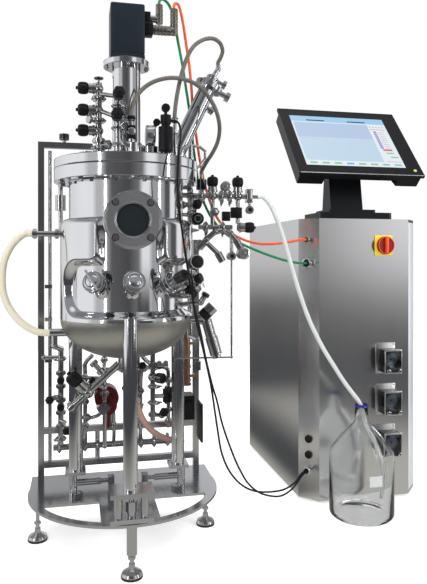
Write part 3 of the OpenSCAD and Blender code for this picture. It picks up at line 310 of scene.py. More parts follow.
finishes = {
    # name: colour, metallic, roughness, stretch, cloud scale, roughness spread, tint, bump
    "polished_steel": ((0.68, 0.685, 0.70), 1, 0.085, (30, 30, 4), 2.2, 0.04, 0.04, 0.02),
    "pipe_steel": ((0.5, 0.5, 0.5), 1, 0.12, (40, 40, 40), 9, 0.08, 0.08, 0.03),
    "brushed_steel": ((0.5, 0.505, 0.52), 1, 0.2, (90, 90, 8), 5, 0.1, 0.06, 0.02),
    "cabinet_steel": ((0.70, 0.70, 0.70), 1, 0.2, (900, 900, 5), 2, 0.05, 0.035, 0.08),
    "copper_brown": ((0.42, 0.25, 0.16), 1, 0.34, (90, 90, 90), 12, 0.2, 0.25, 0.2),
    "knob_plastic": ((0.007, 0.007, 0.008), 0, 0.34, (700, 700, 700), 30, 0.12, 0.2, 0.2),
    "black_plastic": ((0.006, 0.006, 0.007), 0, 0.36, (600, 600, 600), 20, 0.12, 0.2, 0.2),
    "monitor_plastic": ((0.005, 0.005, 0.006), 0, 0.3, (900, 900, 900), 12, 0.1, 0.2, 0.25),
    "motor_paint": ((0.010, 0.015, 0.021), 0.0, 0.32, (500, 500, 500), 14, 0.12, 0.15, 0.15),
    "pump_paint": ((0.10, 0.008, 0.009), 0.0, 0.3, (300, 300, 300), 14, 0.14, 0.25, 0.2),
    "stand_grey": ((0.007, 0.009, 0.011), 0.1, 0.36, (500, 500, 500), 10, 0.12, 0.2, 0.15),
    "switch_yellow": ((0.82, 0.62, 0.03), 0, 0.35, (400, 400, 400), 18, 0.08, 0.06, 0.05),
    "switch_red": ((0.20, 0.008, 0.008), 0, 0.22, (400, 400, 400), 18, 0.08, 0.08, 0.05),
    "pump_head_plastic": ((0.008, 0.010, 0.012), 0, 0.2, (500, 500, 500), 16, 0.1, 0.2, 0.1),
    "seal_rubber": ((0.02, 0.02, 0.02), 0, 0.7, (500, 500, 500), 20, 0.1, 0.2, 0.2),
    "hose_cream": ((0.62, 0.57, 0.44), 0, 0.5, (300, 300, 300), 12, 0.1, 0.06, 0.15),
    "cable_green": ((0.005, 0.19, 0.07), 0, 0.42, (400, 400, 400), 12, 0.1, 0.12, 0.1),
    "cable_orange": ((0.72, 0.085, 0.015), 0, 0.42, (400, 400, 400), 12, 0.1, 0.1, 0.1),
    "cable_black": ((0.006, 0.006, 0.007), 0, 0.38, (400, 400, 400), 12, 0.1, 0.2, 0.1),
    "braid": ((0.2, 0.185, 0.165), 0.6, 0.4, (500, 500, 500), 12, 0.1, 0.2, 0.4),
    "silicone": ((0.56, 0.58, 0.57), 0, 0.3, (300, 300, 300), 12, 0.1, 0.04, 0.05),
    "hoseBrown": ((0.36, 0.22, 0.18), 0, 0.5, (300, 300, 300), 12, 0.1, 0.08, 0.15),
    "ringBlue": ((0.02, 0.03, 0.28), 0, 0.25, (300, 300, 300), 12, 0.05, 0.06, 0.02),
    "handleRed": ((0.74, 0.075, 0.02), 0, 0.28, (400, 400, 400), 18, 0.08, 0.08, 0.05),
    "whiteField": ((0.5, 0.51, 0.51), 0, 0.5, (300, 300, 300), 12, 0.05, 0.03, 0.02),
    "dishSteel": ((0.50, 0.495, 0.46), 1, 0.4, (120, 120, 120), 6, 0.1, 0.08, 0.1),
    "satinSteel": ((0.74, 0.74, 0.75), 1, 0.31, (200, 200, 200), 6, 0.08, 0.04, 0.05),
    "cabinetTrim": ((0.62, 0.62, 0.62), 1, 0.3, (300, 300, 300), 6, 0.08, 0.04, 0.05),
    "connectorMetal": ((0.36, 0.33, 0.28), 1, 0.25, (300, 300, 300), 16, 0.1, 0.1, 0.1),
    # painted reflection: pale finish of the strip over the cabinet's slanted corner
    "cornerReflectionPaint": ((0.80, 0.83, 0.88), 0.35, 0.32, (600, 600, 6), 3, 0.05, 0.03, 0.03),
    # painted highlight: pale metallic finish for the black plastic bezel's lower edge
    "bezelHighlightPaint": ((0.62, 0.62, 0.62), 0.8, 0.18, (300, 300, 300), 12, 0.05, 0.03, 0.02),
    "socketBlack": ((0.004, 0.004, 0.005), 0, 0.5, (300, 300, 300), 12, 0.05, 0.03, 0.02),
}
# Black and dark finishes that show little of the bright room
darkLevel = 0.22
lowGloss = ["knob_plastic", "black_plastic", "monitor_plastic", "motor_paint", "stand_grey", "cable_black",
            "seal_rubber", "pump_paint", "socketBlack"]
materials = {}
for slotName, (color, metallic, roughness, stretch, cloud, spread, tint, bumpHeight) in finishes.items():
    material, tree, shader = newMaterial(slotName, color, metallic, roughness)
    addGrain(tree, shader, color, roughness, stretch, cloud, spread, tint, bumpHeight)
    if slotName in lowGloss:
        shader.inputs["Specular IOR Level"].default_value = darkLevel
    materials[slotName] = material


def makeGlass(name, color, roughness, ior):
    material, tree, shader = newMaterial(name, color, 0, roughness)
    shader.inputs["Transmission Weight"].default_value = 1
    shader.inputs["IOR"].default_value = ior
    materials[name] = material


makeGlass("bottle_glass", (0.985, 0.99, 0.99), 0.0, 1.3)
makeGlass("smokyCover", (0.42, 0.46, 0.50), 0.02, 1.45)
materials["sight_glass"] = newMaterial("sight_glass", (0.01, 0.013, 0.015), 0, 0.06)[0]


# Lit fields of the screen: rows of fine dots over a plain colour
litSet = {"glow": 0.9, "rows": 160, "dim": 0.93, "unlit": 0.04, "roughness": 0.22}


def makeLit(name, color):
    unlit = tuple(c * litSet["unlit"] for c in color)
    material, tree, shader = newMaterial(name, unlit, 0, litSet["roughness"])
    coords = tree.nodes.new("ShaderNodeTexCoord")
    rows = tree.nodes.new("ShaderNodeTexWave")
    rows.bands_direction = "X"
    rows.inputs["Scale"].default_value = litSet["rows"]
    rows.inputs["Distortion"].default_value = 0
    tree.links.new(coords.outputs["Object"], rows.inputs["Vector"])
    darker = tuple(c * litSet["dim"] for c in color)
    tree.links.new(mixColor(tree, rows.outputs["Fac"], darker, color), shader.inputs["Emission Color"])
    shader.inputs["Emission Strength"].default_value = litSet["glow"]
    materials[name] = material


litColors = {
    "screen": (0.80, 0.88, 0.93), "litBar": (0.36, 0.62, 0.86), "litPlot": (0.47, 0.60, 0.80),
    "litDark": (0.015, 0.03, 0.06), "litGreen": (0.28, 0.60, 0.38), "litBlue": (0.16, 0.46, 0.80),
    "litRed": (0.75, 0.12, 0.12), "litPink": (0.75, 0.50, 0.60), "litPurple": (0.30, 0.24, 0.55),
    "litYellow": (0.80, 0.85, 0.20), "litPlotLow": (0.55, 0.70, 0.84),
}
for litName, litColor in litColors.items():
    makeLit(litName, litColor)
print("materials made")

slotOf = {part["node"]: part["material_slot"] for part in frame["record"]["subparts"]}
for nodeName, node in nodes.items():
    material = materials[slotOf[nodeName]]
    if not node.material_slots:
        node.data.materials.append(material)
    for slot in node.material_slots:
        slot.material = material
print("frame nodes finished")


hoseSides = 20
hoseSteps = 5
cords = {
    "jacket_hose": {"slot": "hose_cream", "radius": 10.5, "far": "object", "stiffness": "medium", "path": [
        (-291, 60, 992), (-312, 60, 992), (-338, 58, 973), (-361, 56, 941), (-376, 54, 902),
        (-381, 52, 859), (-379, 50, 815), (-366, 46, 772), (-340, 38, 732), (-308, 29, 703),
        (-275, 22, 686), (-251, 20, 682), (-236, 20, 682)]},
    "green_cable": {"slot": "cable_green", "radius": 4.5, "far": "object", "stiffness": "medium", "path": [
        (104, 0, 1726), (104, 0, 1736), (111, 7, 1748), (124, 16, 1750), (139, 25, 1740),
        (151, 30, 1716), (161, 34, 1682), (169, 37, 1637), (178, 40, 1593), (189, 46, 1543),
        (201, 57, 1481), (214, 72, 1418), (226, 92, 1349), (240, 112, 1268), (259, 127, 1167),
        (288, 133, 1085), (335, 134, 1018), (401, 135, 972), (478, 142, 939), (560, 150, 912),
        (620, 160, 899), (658, 182, 896), (681, 202, 896)]},
    "orange_cable": {"slot": "cable_orange", "radius": 4.5, "far": "object", "stiffness": "medium", "path": [
        (152, 0, 1716), (152, 0, 1728), (158, 5, 1738), (168, 10, 1736), (177, 15, 1714),
        (187, 20, 1670), (197, 28, 1614), (209, 38, 1549), (219, 52, 1474), (229, 80, 1405),
        (242, 90, 1332), (258, 106, 1251), (280, 116, 1160), (312, 122, 1074), (352, 126, 1020),
        (407, 130, 985), (478, 138, 966), (560, 146, 968), (622, 158, 978), (658, 182, 983),
        (681, 202, 983)]},
    "foam_cable": {"slot": "cable_black", "radius": 3.2, "far": "object", "stiffness": "limp", "path": [
        (128, -120, 1330), (139, -120, 1330), (147, -136, 1316), (145, -172, 1278), (134, -210, 1228),
        (127, -230, 1166), (127, -227, 1109), (134, -218, 1048), (145, -208, 982), (158, -200, 904),
        (170, -190, 838), (186, -174, 768), (208, -151, 696), (233, -118, 602), (259, -87, 518),
        (279, -67, 462), (300, -46, 387), (330, -20, 309), (366, 4, 228), (408, 34, 158),
        (456, 70, 110), (508, 103, 80), (560, 130, 66), (606, 148, 80), (642, 165, 108),
        (665.8, 183.3, 120), (683.6, 199.4, 120)]},
    "probe_cable": {"slot": "cable_black", "radius": 3.2, "far": "object", "stiffness": "limp", "path": [
        (145.6, -242.4, 868.3), (149.4, -248.8, 871.3), (155, -257, 871), (161, -262, 859),
        (164, -261, 839), (167, -246, 808), (180, -216, 752), (196, -188, 702), (214, -158, 647),
        (234, -128, 583), (251, -106, 520), (263, -90, 462), (281, -64, 374), (301, -38, 288),
        (338, 0, 211), (391, 42, 148), (453, 88, 106), (521, 128, 84), (580, 152, 80), (624, 169, 94),
        (648, 180, 113), (660.4, 189.3, 120), (678.2, 205.4, 120)]},
    "vent_hose": {"slot": "braid", "radius": 6.5, "far": "object", "stiffness": "stiff", "path": [
        (144, -66, 1352), (144, -66, 1364), (149, -65, 1408), (160, -62, 1465), (173, -56, 1512),
        (190, -47, 1557), (210, -36, 1590), (234, -25, 1612), (260, -14, 1626), (286, -2, 1630),
        (308, 12, 1622), (319, 26, 1603), (314, 36, 1582), (307, 40, 1568), (307, 40, 1558)]},
    "rinse_hose": {"slot": "braid", "radius": 6.5, "far": "object", "stiffness": "stiff", "path": [
        (6, -98, 1344), (6, -98, 1358), (13, -98, 1385), (28, -97, 1412), (50, -95, 1436),
        (76, -94, 1453), (105, -92, 1464), (136, -88, 1470), (169, -83, 1469), (203, -79, 1460),
        (235, -72, 1440), (262, -58, 1414), (285, -38, 1381), (299, -16, 1341), (299, 6, 1301),
        (286, 27, 1265), (269, 44, 1236), (258, 56, 1214), (254, 60, 1204), (254, 60, 1196)]},
    "feed_hose": {"slot": "silicone", "radius": 7.5, "far": "bare", "stiffness": "medium", "path": [
        (432, 0, 1118), (450, 0, 1118), (473, 4, 1099), (498, 9, 1056), (524, 16, 995), (554, 24, 905),
        (588, 32, 806), (629, 40, 703), (680, 48, 608), (731, 55, 531), (772, 61, 473), (806, 65, 431),
        (822, 67, 412), (834, 67, 393), (841, 67, 372), (846, 67, 352), (850, 67, 332), (860, 67, 308),
        (877, 67, 280), (896, 67, 244), (910, 67, 206), (921, 67, 163), (927, 67, 117), (925, 67, 80),
        (916, 67, 45)]},
}


# A smooth line through the points of a route
def smoothRoute(points, steps):
    line = []
    for i in range(len(points) - 1):
        before = points[max(i - 1, 0)]
        start, end = points[i], points[i + 1]
        after = points[min(i + 2, len(points) - 1)]
        for k in range(steps):
            t = k / steps
            line.append(0.5 * (2 * start + (end - before) * t
                               + (2 * before - 5 * start + 4 * end - after) * t ** 2
                               + (3 * start - before - 3 * end + after) * t ** 3))
    line.append(points[-1])
    return line


# Corners and faces of a closed tube along a line, and how far along each ring lies
def tubeMesh(line, radius, sides):
    verts, faces, along = [], [], [0]
    way = (line[1] - line[0]).normalized()
    side, up = crossWays(way)
    for i, point in enumerate(line):
        if i:
            along.append(along[-1] + (point - line[i - 1]).length)
        newWay = (line[min(i + 1, len(line) - 1)] - line[max(i - 1, 0)]).normalized()
        turn = way.rotation_difference(newWay)
        side.rotate(turn)
        up.rotate(turn)
        way = newWay
        for k in range(sides):
            a = 2 * math.pi * k / sides
            verts.append(point + radius * (math.cos(a) * side + math.sin(a) * up))
    count = len(line)
    for i in range(count - 1):
        for k in range(sides):
            n = (k + 1) % sides
            faces.append((i * sides + k, i * sides + n, (i + 1) * sides + n, (i + 1) * sides + k))
    faces.append(tuple(range(sides - 1, -1, -1)))
    faces.append(tuple((count - 1) * sides + k for k in range(sides)))
    return verts, faces, along


# A hose piece, with its length and its turn as a UV map
def tubePiece(name, line, radius, material, sides=hoseSides):
    verts, faces, along = tubeMesh(line, radius, sides)
    count = len(line)
    piece = newPiece(name, verts, faces, material)
    uv = piece.data.uv_layers.new(name="alongHose")
    for polygon in piece.data.polygons[:(count - 1) * sides]:
        ring, k = divmod(polygon.index, sides)
        values = ((k, ring), (k + 1, ring), (k + 1, ring + 1), (k, ring + 1))
        for loop, (turnIndex, ringIndex) in zip(polygon.loop_indices, values):
            uv.data[loop].uv = (turnIndex / sides, along[ringIndex])
    return piece


def makeCords():
    for name, cord in cords.items():
        line = smoothRoute([place(*p) for p in cord["path"]], hoseSteps)
        radius = cord["radius"] * mm
        piece = tubePiece(name + "_tube", line, radius, materials[cord["slot"]])
        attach(piece, "skid_and_cabinet")
        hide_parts(name)


makeCords()
print("hoses and cables made")


mainBody = "skid_and_cabinet"
jacketSet = {
    "shell": 204, "neck": 178, "under": 177, "inside": 176, "top": 1036, "shoulder": 24, "wallLow": 728,
    "dish": 127, "columns": 480, "rows": 100, "dishRows": 26, "slope": 12,
    # The part left open round the sight glass and along the ports
    "windowHalf": 96, "windowLow": 825, "beltFrom": -178, "beltTo": 356, "beltRadius": 76, "beltBlend": 24,
}


def jacketRadius(z):
    values = jacketSet
    if z > values["top"] - values["shoulder"]:
        a = math.acos(max(-1, min(1, 1 - (values["top"] - z) / values["shoulder"])))
        return values["neck"] + (values["shell"] - values["neck"]) * math.sin(a)
    return values["shell"]


# Distance from the edge of the opening, below zero inside it
def jacketEdge(u, z):
    values = jacketSet
    sideways = abs(u) - values["windowHalf"]
    upright = values["windowLow"] - z
    window = math.hypot(max(sideways, 0), max(upright, 0)) + min(max(sideways, upright), 0)
    nearest = min(max(u, values["beltFrom"]), values["beltTo"])
    belt = math.hypot(u - nearest, z - values["windowLow"]) - values["beltRadius"]
    k = values["beltBlend"]
    h = max(k - abs(window - belt), 0) / k
    return min(window, belt) - h * h * k / 4


def makeJacket():
    values = jacketSet
    shapes = newShapes()
    columns = values["columns"]
    verts, faces, slots, rings = [], [], [], []

    def addRing(points):
        rings.append(list(range(len(verts), len(verts) + len(points))))
        verts.extend(points)

    def ringAt(radiusOf, z):
        points = []
        for k in range(columns):
            a = 2 * math.pi * k / columns - math.pi
            r = radiusOf(a)
            points.append(place(r * math.sin(a), -r * math.cos(a), z))
        return points

    # From the bottom of the dish up the outside, then back down the inside
    for i in range(1, values["dishRows"] + 1):
        b = math.pi / 2 * (1 - i / values["dishRows"])
        r = values["shell"] * math.cos(b)
        addRing(ringAt(lambda a: r, values["wallLow"] - values["dish"] * math.sin(b)))
    dishRings = len(rings)
    span = values["top"] - values["wallLow"]
    for i in range(1, values["rows"] + 1):
        z = values["wallLow"] + span * i / values["rows"]
        full = jacketRadius(z)

        def radiusOf(a):
            t = (jacketEdge(a * values["shell"], z) + values["slope"]) / (2 * values["slope"])
            t = max(0, min(1, t))
            return values["under"] + (full - values["under"]) * t * t * (3 - 2 * t)

        addRing(ringAt(radiusOf, z))
    addRing(ringAt(lambda a: values["inside"], values["top"]))
    addRing(ringAt(lambda a: values["inside"], values["wallLow"]))
    for b in (30, 60, 80):
        r = values["inside"] * math.cos(math.radians(b))
        z = values["wallLow"] - (values["dish"] - 12) * math.sin(math.radians(b))
        addRing(ringAt(lambda a: r, z))
    for index, (low, high) in enumerate(zip(rings, rings[1:])):
        for k in range(columns):
            n = (k + 1) % columns
            faces.append((low[k], low[n], high[n], high[k]))
            slots.append(1 if index < dishRings - 1 else 0)
    for ring, z, outward in ((rings[0], values["wallLow"] - values["dish"], True),
                             (rings[-1], values["wallLow"] - values["dish"] + 12, False)):
        pole = len(verts)
        verts.append(place(0, 0, z))
        for k in range(columns):
            n = (k + 1) % columns
            faces.append((pole, ring[n], ring[k]) if outward else (pole, ring[k], ring[n]))
            slots.append(1)
    shapes["verts"], shapes["faces"], shapes["slots"] = verts, faces, slots
    makePiece("jacketSkin", shapes, mainBody, ["polished_steel", "dishSteel"], ["jacket"], sharp=50)


makeJacket()
print("jacket made")

sensorPorts = {
    "angles": [-28, 1, 31, 57, 84], "rise": 22, "height": 826, "wall": 178, "sides": 48,
    "collar": [(34, -20), (30, -13), (24, -6), (20, -1), (18, 4), (16.2, 14), (10, 14)],
    "beads": [(25, 22), (31, 62.6), (31, 48.6)], "beadThick": 0.9,
    # The closed ports have domed covers
    "domed": [-28, 1],
    "dome": [(0, 60), (26.5, 60), (26.7, 66), (25.6, 68.4), (23, 69.6), (20.5, 69.6), (18.5, 68.2),
             (16.5, 69.8), (12, 71.6), (6, 72.4), (0, 72.6)],
}
trimBeads = [
    # middle, way, thickness, sides, then radius and height of each bead
    ((0, 0, 0), upWay, 1.1, 160, [(222.6, 1215.4), (222.6, 1189.6), (222.6, 1186.4), (222.6, 1149.6)]),
    ((0, 0, 0), upWay, 2.4, 160, [(178, 1147.5)]),
    ((0, 0, 0), upWay, 1.1, 96, [(57.6, 1226.6), (57.6, 1269.4), (71.6, 1516.6), (71.6, 1532.4),
                                 (45.5, 1272)]),
    ((0, 0, 1022), frontWay, 1.1, 96, [(82.2, 234.6), (82.2, 220.6), (47, 234.8), (66.4, 205)]),
]


def portWay(degrees):
    a, rise = math.radians(degrees), math.radians(sensorPorts["rise"])
    return Vector((math.sin(a) * math.cos(rise), -math.cos(a) * math.cos(rise), math.sin(rise)))


def portAt(degrees, out):
    a = math.radians(degrees)
    wall = sensorPorts["wall"]
    foot = Vector((wall * math.sin(a), -wall * math.cos(a), sensorPorts["height"]))
    return foot + portWay(degrees) * out


# A thin rounded edge round a turned form
def addBead(shapes, at, way, radius, height, thick=1.2, slot=0, sides=96):
    ring = [(radius + thick * math.cos(a), height + thick * math.sin(a))
            for a in (2 * math.pi * k / 8 - math.pi / 2 for k in range(8))]
    addTurned(shapes, at, way, ring, sides, slot, closed=True)


# A cap with softened edges over a bar from one height to another
def addCap(shapes, at, way, radius, low, high, slot=0, sides=32, soft=1.5, lobes=None):
    near = soft * 0.3
    profile = [(0, low), (radius - soft, low), (radius - near, low + near), (radius, low + soft),
               (radius, high - soft), (radius - near, high - near), (radius - soft, high), (0, high)]
    addTurned(shapes, at, way, profile, sides, slot, lobes)


def makeVesselTrim():
    shapes = newShapes()
    sides = sensorPorts["sides"]
    for degrees in sensorPorts["angles"]:
        foot, way = portAt(degrees, 0), portWay(degrees)
        addTurned(shapes, foot, way, sensorPorts["collar"], sides)
        for radius, height in sensorPorts["beads"]:
            addBead(shapes, foot, way, radius, height, sensorPorts["beadThick"], sides=sides)
        if degrees in sensorPorts["domed"]:
            addTurned(shapes, foot, way, sensorPorts["dome"], sides)
    for middle, way, thick, sides, beads in trimBeads:
        for radius, height in beads:
            addBead(shapes, middle, way, radius, height, thick, sides=sides)
    makePiece("vesselTrim", shapes, mainBody, ["polished_steel"])


makeVesselTrim()

sightSet = {
    "at": (0, 0, 1022), "screws": 4, "screwRing": 69.5,
    "face": [(47.5, 220), (82.4, 220), (82.9, 221), (82.9, 231), (78.6, 235.6), (77, 235.6), (52.5, 235.6),
             (47.4, 231.4)],
    "seat": [(0, 235.2), (10.4, 235.2), (10.4, 236), (0, 236)],
    "head": [(0, 234), (8, 234), (8, 237), (7, 239.6), (4, 241), (0, 241.2)],
    # radius, height and thickness
    "beads": [(79.6, 235, 1.6), (50.4, 234.6, 1.8), (75.5, 235.2, 0.8)],
}


# Face ring of the sight glass, with its four screws on dark seats
def makeSightRing():
    shapes = newShapes()
    x, y, z = sightSet["at"]
    addTurned(shapes, (x, y, z), frontWay, sightSet["face"], 96, closed=True)
    for k in range(sightSet["screws"]):
        a = 2 * math.pi * (k + 0.5) / sightSet["screws"]
        at = (x + sightSet["screwRing"] * math.cos(a), y, z + sightSet["screwRing"] * math.sin(a))
        addTurned(shapes, at, frontWay, sightSet["seat"], 28, 2)
        addTurned(shapes, at, frontWay, sightSet["head"], 28, 0)
    for radius, height, thick in sightSet["beads"]:
        addBead(shapes, (x, y, z), frontWay, radius, height, thick, 1)
    makePiece("sightRing", shapes, mainBody, ["satinSteel", "polished_steel", "socketBlack"], sharp=30)


makeSightRing()
print("vessel trim made")


knobSet = {"lobes": 6, "depth": 0.085, "sides": 72, "smoothTo": 12, "roundTo": 8}
knobProfile = [
    (0, 30), (11, 30), (13.5, 30.6), (15.6, 32.4), (17.6, 36), (18.7, 41), (19, 47), (18.7, 53),
    (17.4, 57.5), (15, 60.6), (12, 62.2), (7.5, 62.6), (5.6, 63.2), (5, 65), (4.8, 67.4), (3.6, 68.6),
    (0, 68.8),
]
knobPlaces = {
    # name: middle of the valve, way of its stem, size, CAD node and body
    "drain": ((-120, 0, 495), (-0.69, 0, 0.724), 1.3, "drain_knob", "drain_valve_knob"),
    "feed1": ((-89, -60, 1430), (-1, 0, 0), 1, "feed_knob_1", "feed_valve_knob_1"),
    "feed2": ((-89, -60, 1364), (-1, 0, 0), 1, "feed_knob_2", "feed_valve_knob_2"),
    "feed3": ((-89, -60, 1302), (-1, 0, 0), 1, "feed_knob_3", "feed_valve_knob_3"),
    "feed4": ((-33, -100, 1400), frontWay, 1, "feed_knob_4", "feed_valve_knob_4"),
    "feed5": ((-38, -100, 1338), frontWay, 1, "feed_knob_5", "feed_valve_knob_5"),
    "outlet1": ((279, 0, 1118), upWay, 1, "outlet_knob_1", "outlet_valve_knob_1"),
    "outlet2": ((364, 0, 1118), upWay, 1, "outlet_knob_2", "outlet_valve_knob_2"),
    "outlet3": ((357, 0, 1016), rightWay, 1, "outlet_knob_3", "outlet_valve_knob_3"),
}


def lobeShape(a, radius):
    smoothTo, roundTo = knobSet["smoothTo"], knobSet["roundTo"]
    depth = knobSet["depth"]
    if radius <= smoothTo:
        depth *= max(0, (radius - roundTo) / (smoothTo - roundTo))
    return radius * (1 - depth * (1 - abs(math.cos(knobSet["lobes"] * a / 2)) ** 0.7 * 2) - depth)


def addKnob(shapes, at, way, size, slot=0):
    scaled = [(r * size, h * size) for r, h in knobProfile]
    addTurned(shapes, at, way, scaled, knobSet["sides"], slot, lambda a, r: lobeShape(a, r / size) * size)


def makeKnobs():
    for name, (at, way, size, node, body) in knobPlaces.items():
        shapes = newShapes()
        addKnob(shapes, at, way, size)
        makePiece(name + "Knob", shapes, body, ["knob_plastic"], [node], sharp=60)


makeKnobs()
print("knobs made")

blackCaps = [
    # a point at the cap's low end, one at its high end, and its radius
    ((254, 60, 1143.5), (254, 60, 1178.6), 17.5), ((109, 72, 517), (124.6, 54, 517), 17.5),
    ((144, 97, 429.5), (144, 97, 474.6), 15.5), ((-99.6, 75, 509.6), (-114.4, 75, 517.8), 15.5),
    ((-206, 160.4, 419), (-206, 131.6, 419), 12.5), ((-206, 160.4, 508), (-206, 131.6, 508), 12.5),
    ((-196, 204, 1318.6), (-196, 204, 1339.4), 16.5), ((-89, -60, 1459.6), (-89, -60, 1464.6), 14.6),
    ((177.8, -130.8, 800.9), (191.5, -121.4, 814.6), 17.9), ((237.8, -73.6, 795), (243, -76.4, 804.6), 12.5),
    ((233.6, -53.8, 727.8), (251.6, -57.3, 745.6), 19.5),
]
probeHeads = [
    # turn of the port, low end, high end and radius
    (31, 77.4, 113.6, 16.5), (57, 61.6, 84.6, 14.5), (84, 39.6, 60.6, 16.5),
]
samplingCap = {
    "turn": 57, "out": 48, "offset": (4, -26, 56), "way": (4, -28, 4), "radius": 21.5, "long": 28.9,
}
ribbed = {"count": 24, "depth": 0.035}


def makeBlackCaps():
    shapes = newShapes()

    def ribs(a, radius):
        return radius * (1 - ribbed["depth"] * (0.5 - 0.5 * math.cos(ribbed["count"] * a)))

    for low, high, radius in blackCaps:
        way = Vector(high) - Vector(low)
        addCap(shapes, low, way, radius, 0, way.length, 0, 96, 2, ribs)
    for degrees, low, high, radius in probeHeads:
        addCap(shapes, portAt(degrees, 0), portWay(degrees), radius, low, high, 0, 96, 2, ribs)
    at = portAt(samplingCap["turn"], samplingCap["out"]) + Vector(samplingCap["offset"])
    addCap(shapes, at, samplingCap["way"], samplingCap["radius"], 0, samplingCap["long"], 0, 96, 2.5, ribs)
    makePiece("blackCaps", shapes, mainBody, ["black_plastic"], sharp=60)


makeBlackCaps()

steelCovers = [
    # bright sleeves over the small fittings on the lid: a point at each end and the radius
    ((144, -66, 1229), (144, -66, 1300), 8.9), ((144, -66, 1336), (144, -66, 1352.4), 9.4),
    ((144, -66, 1300), (144, -66, 1337), 5.6), ((6, -98, 1261), (6, -98, 1344.4), 9.5),
    ((6, -97, 1294), (6, -122.6, 1294), 11.6), ((53.4, -72, 1290), (80.6, -72, 1290), 33.6),
]
lidBeads = [
    # middle, way, radius, thickness and heights
    ((6, -98, 0), upWay, 12, 2.0, [1262, 1276, 1330, 1343]),
    ((144, -66, 0), upWay, 9.6, 1.8, [1232, 1302, 1350]), ((87, -72, 1334), (0, 1, 0), 9, 2.4, [0]),
]


def makeSteelCovers():
    shapes = newShapes()
    for low, high, radius in steelCovers:
        way = Vector(high) - Vector(low)
        addCap(shapes, low, way, radius, 0, way.length, 0, 40, min(1.4, radius / 5))
    for at, way, radius, thick, heights in lidBeads:
        for height in heights:
            addBead(shapes, at, way, radius, height, thick, sides=40)
    makePiece("lidFittings", shapes, mainBody, ["polished_steel"])


makeSteelCovers()

clampSet = {
    "half": 9, "gap": 2, "deep": 5, "inward": 3, "earOut": 9.24, "nutOut": 4.4, "boltRadius": 3.2,
    "boltPast": (4, 8), "wing": (8, 2.2, 8.5), "ring": 3.4,
}
pipeClamps = [
    # way of the pipe, outside radius, way of the ears, and the middles
    (rightWay, 17, upWay, [(x, 204, 268) for x in (-212, -153, -126, -84, 42, 66, 112, 160)]),
    (upWay, 16.5, (-0.6, -0.8, 0), [(-206, 160, z) for z in (310, 578)]),
    (upWay, 15, (0.7, -0.7, 0), [(94, 90, z) for z in (432, 486)]),
    (upWay, 17, (0.5, -0.85, 0), [(226, 120, z) for z in (700, 860, 1010)]),
    (upWay, 20, (-0.3, -0.95, 0), [(-89, -60, z) for z in (1248, 1333, 1399)]),
    (upWay, 18, (0.8, -0.6, 0), [(-33, -100, z) for z in (1256, 1304, 1370)]),
    (rightWay, 17, (0, -0.5, -0.87), [(x, 0, 1118) for x in (240, 308, 336)]),
    (rightWay, 16, (0, -0.5, -0.87), [(x, 0, 1016) for x in (256, 312)]),
]


# Two ears with a bolt and a wing nut at the side of each pipe clamp
def makeClampEars():
    shapes = newShapes()
    half, gap, deep = clampSet["half"], clampSet["gap"], clampSet["deep"]
    wingLong, wingThick, wingHigh = clampSet["wing"]
    head, tail = clampSet["boltPast"]
    for way, radius, ears, places in pipeClamps:
        ears, way = Vector(ears).normalized(), Vector(way).normalized()
        across = way.cross(ears).normalized()
        turned = Matrix((across, way, ears)).transposed().to_4x4()
        low, high = radius - clampSet["inward"], radius + clampSet["earOut"]
        nut = radius + clampSet["nutOut"]
        for at in places:
            matrix = Matrix.Translation(place(*at)) @ turned
            addBlock(shapes, (-half, -deep, low), (-gap, deep, high), 1.6, matrix)
            addBlock(shapes, (gap, -deep, low), (half, deep, high), 1.6, matrix)
            foot = Vector(at) + ears * nut
            addCap(shapes, foot, across, clampSet["boltRadius"], -half - head, half + tail, 0, 16, 0.8)
            wing = (half + 1, -wingThick, nut - wingHigh), (half + 1 + wingLong, wingThick, nut + wingHigh)
            addBlock(shapes, *wing, 2, matrix)
            addBead(shapes, at, way, radius, 0, clampSet["ring"], sides=48)
    makePiece("clampEars", shapes, mainBody, ["brushed_steel"], sharp=40)


makeClampEars()
print("caps and clamps made")

forwardFaces = [
    # turned faces on the fittings that look forward: place, radius, how far out it stands, and its kind
    ((322, 0, 1150), 16, 9, "dial"), ((404, 0, 1074), 13, 6, "plug"), ((379, 0, 930), 19, 22, "dial"),
    ((339.5, 0, 921), 13, 22, "plug"), ((222, 0, 1040), 19, 46, "cap"),
]
nozzleFace = {"at": (279, 0, 1063), "profile": [(0, 34), (10, 34), (10, 37), (5.5, 38.4), (0, 38.6)]}
coverBlocks = [
    # two corners in mm, bevel and finish of the rounded covers over square fittings
    ((391.3, -13.7, 1097.3), (412.7, 13.7, 1142.7), 4, 0),
    ((336.5, -22.5, 1045.5), (373.5, -8.5, 1080.5), 3.5, 1),
    ((307.5, -20.5, 1035.5), (334.5, -6.5, 1066.5), 3.5, 1), ((344, -24.4, 1052), (366, -20, 1074), 2, 1),
]


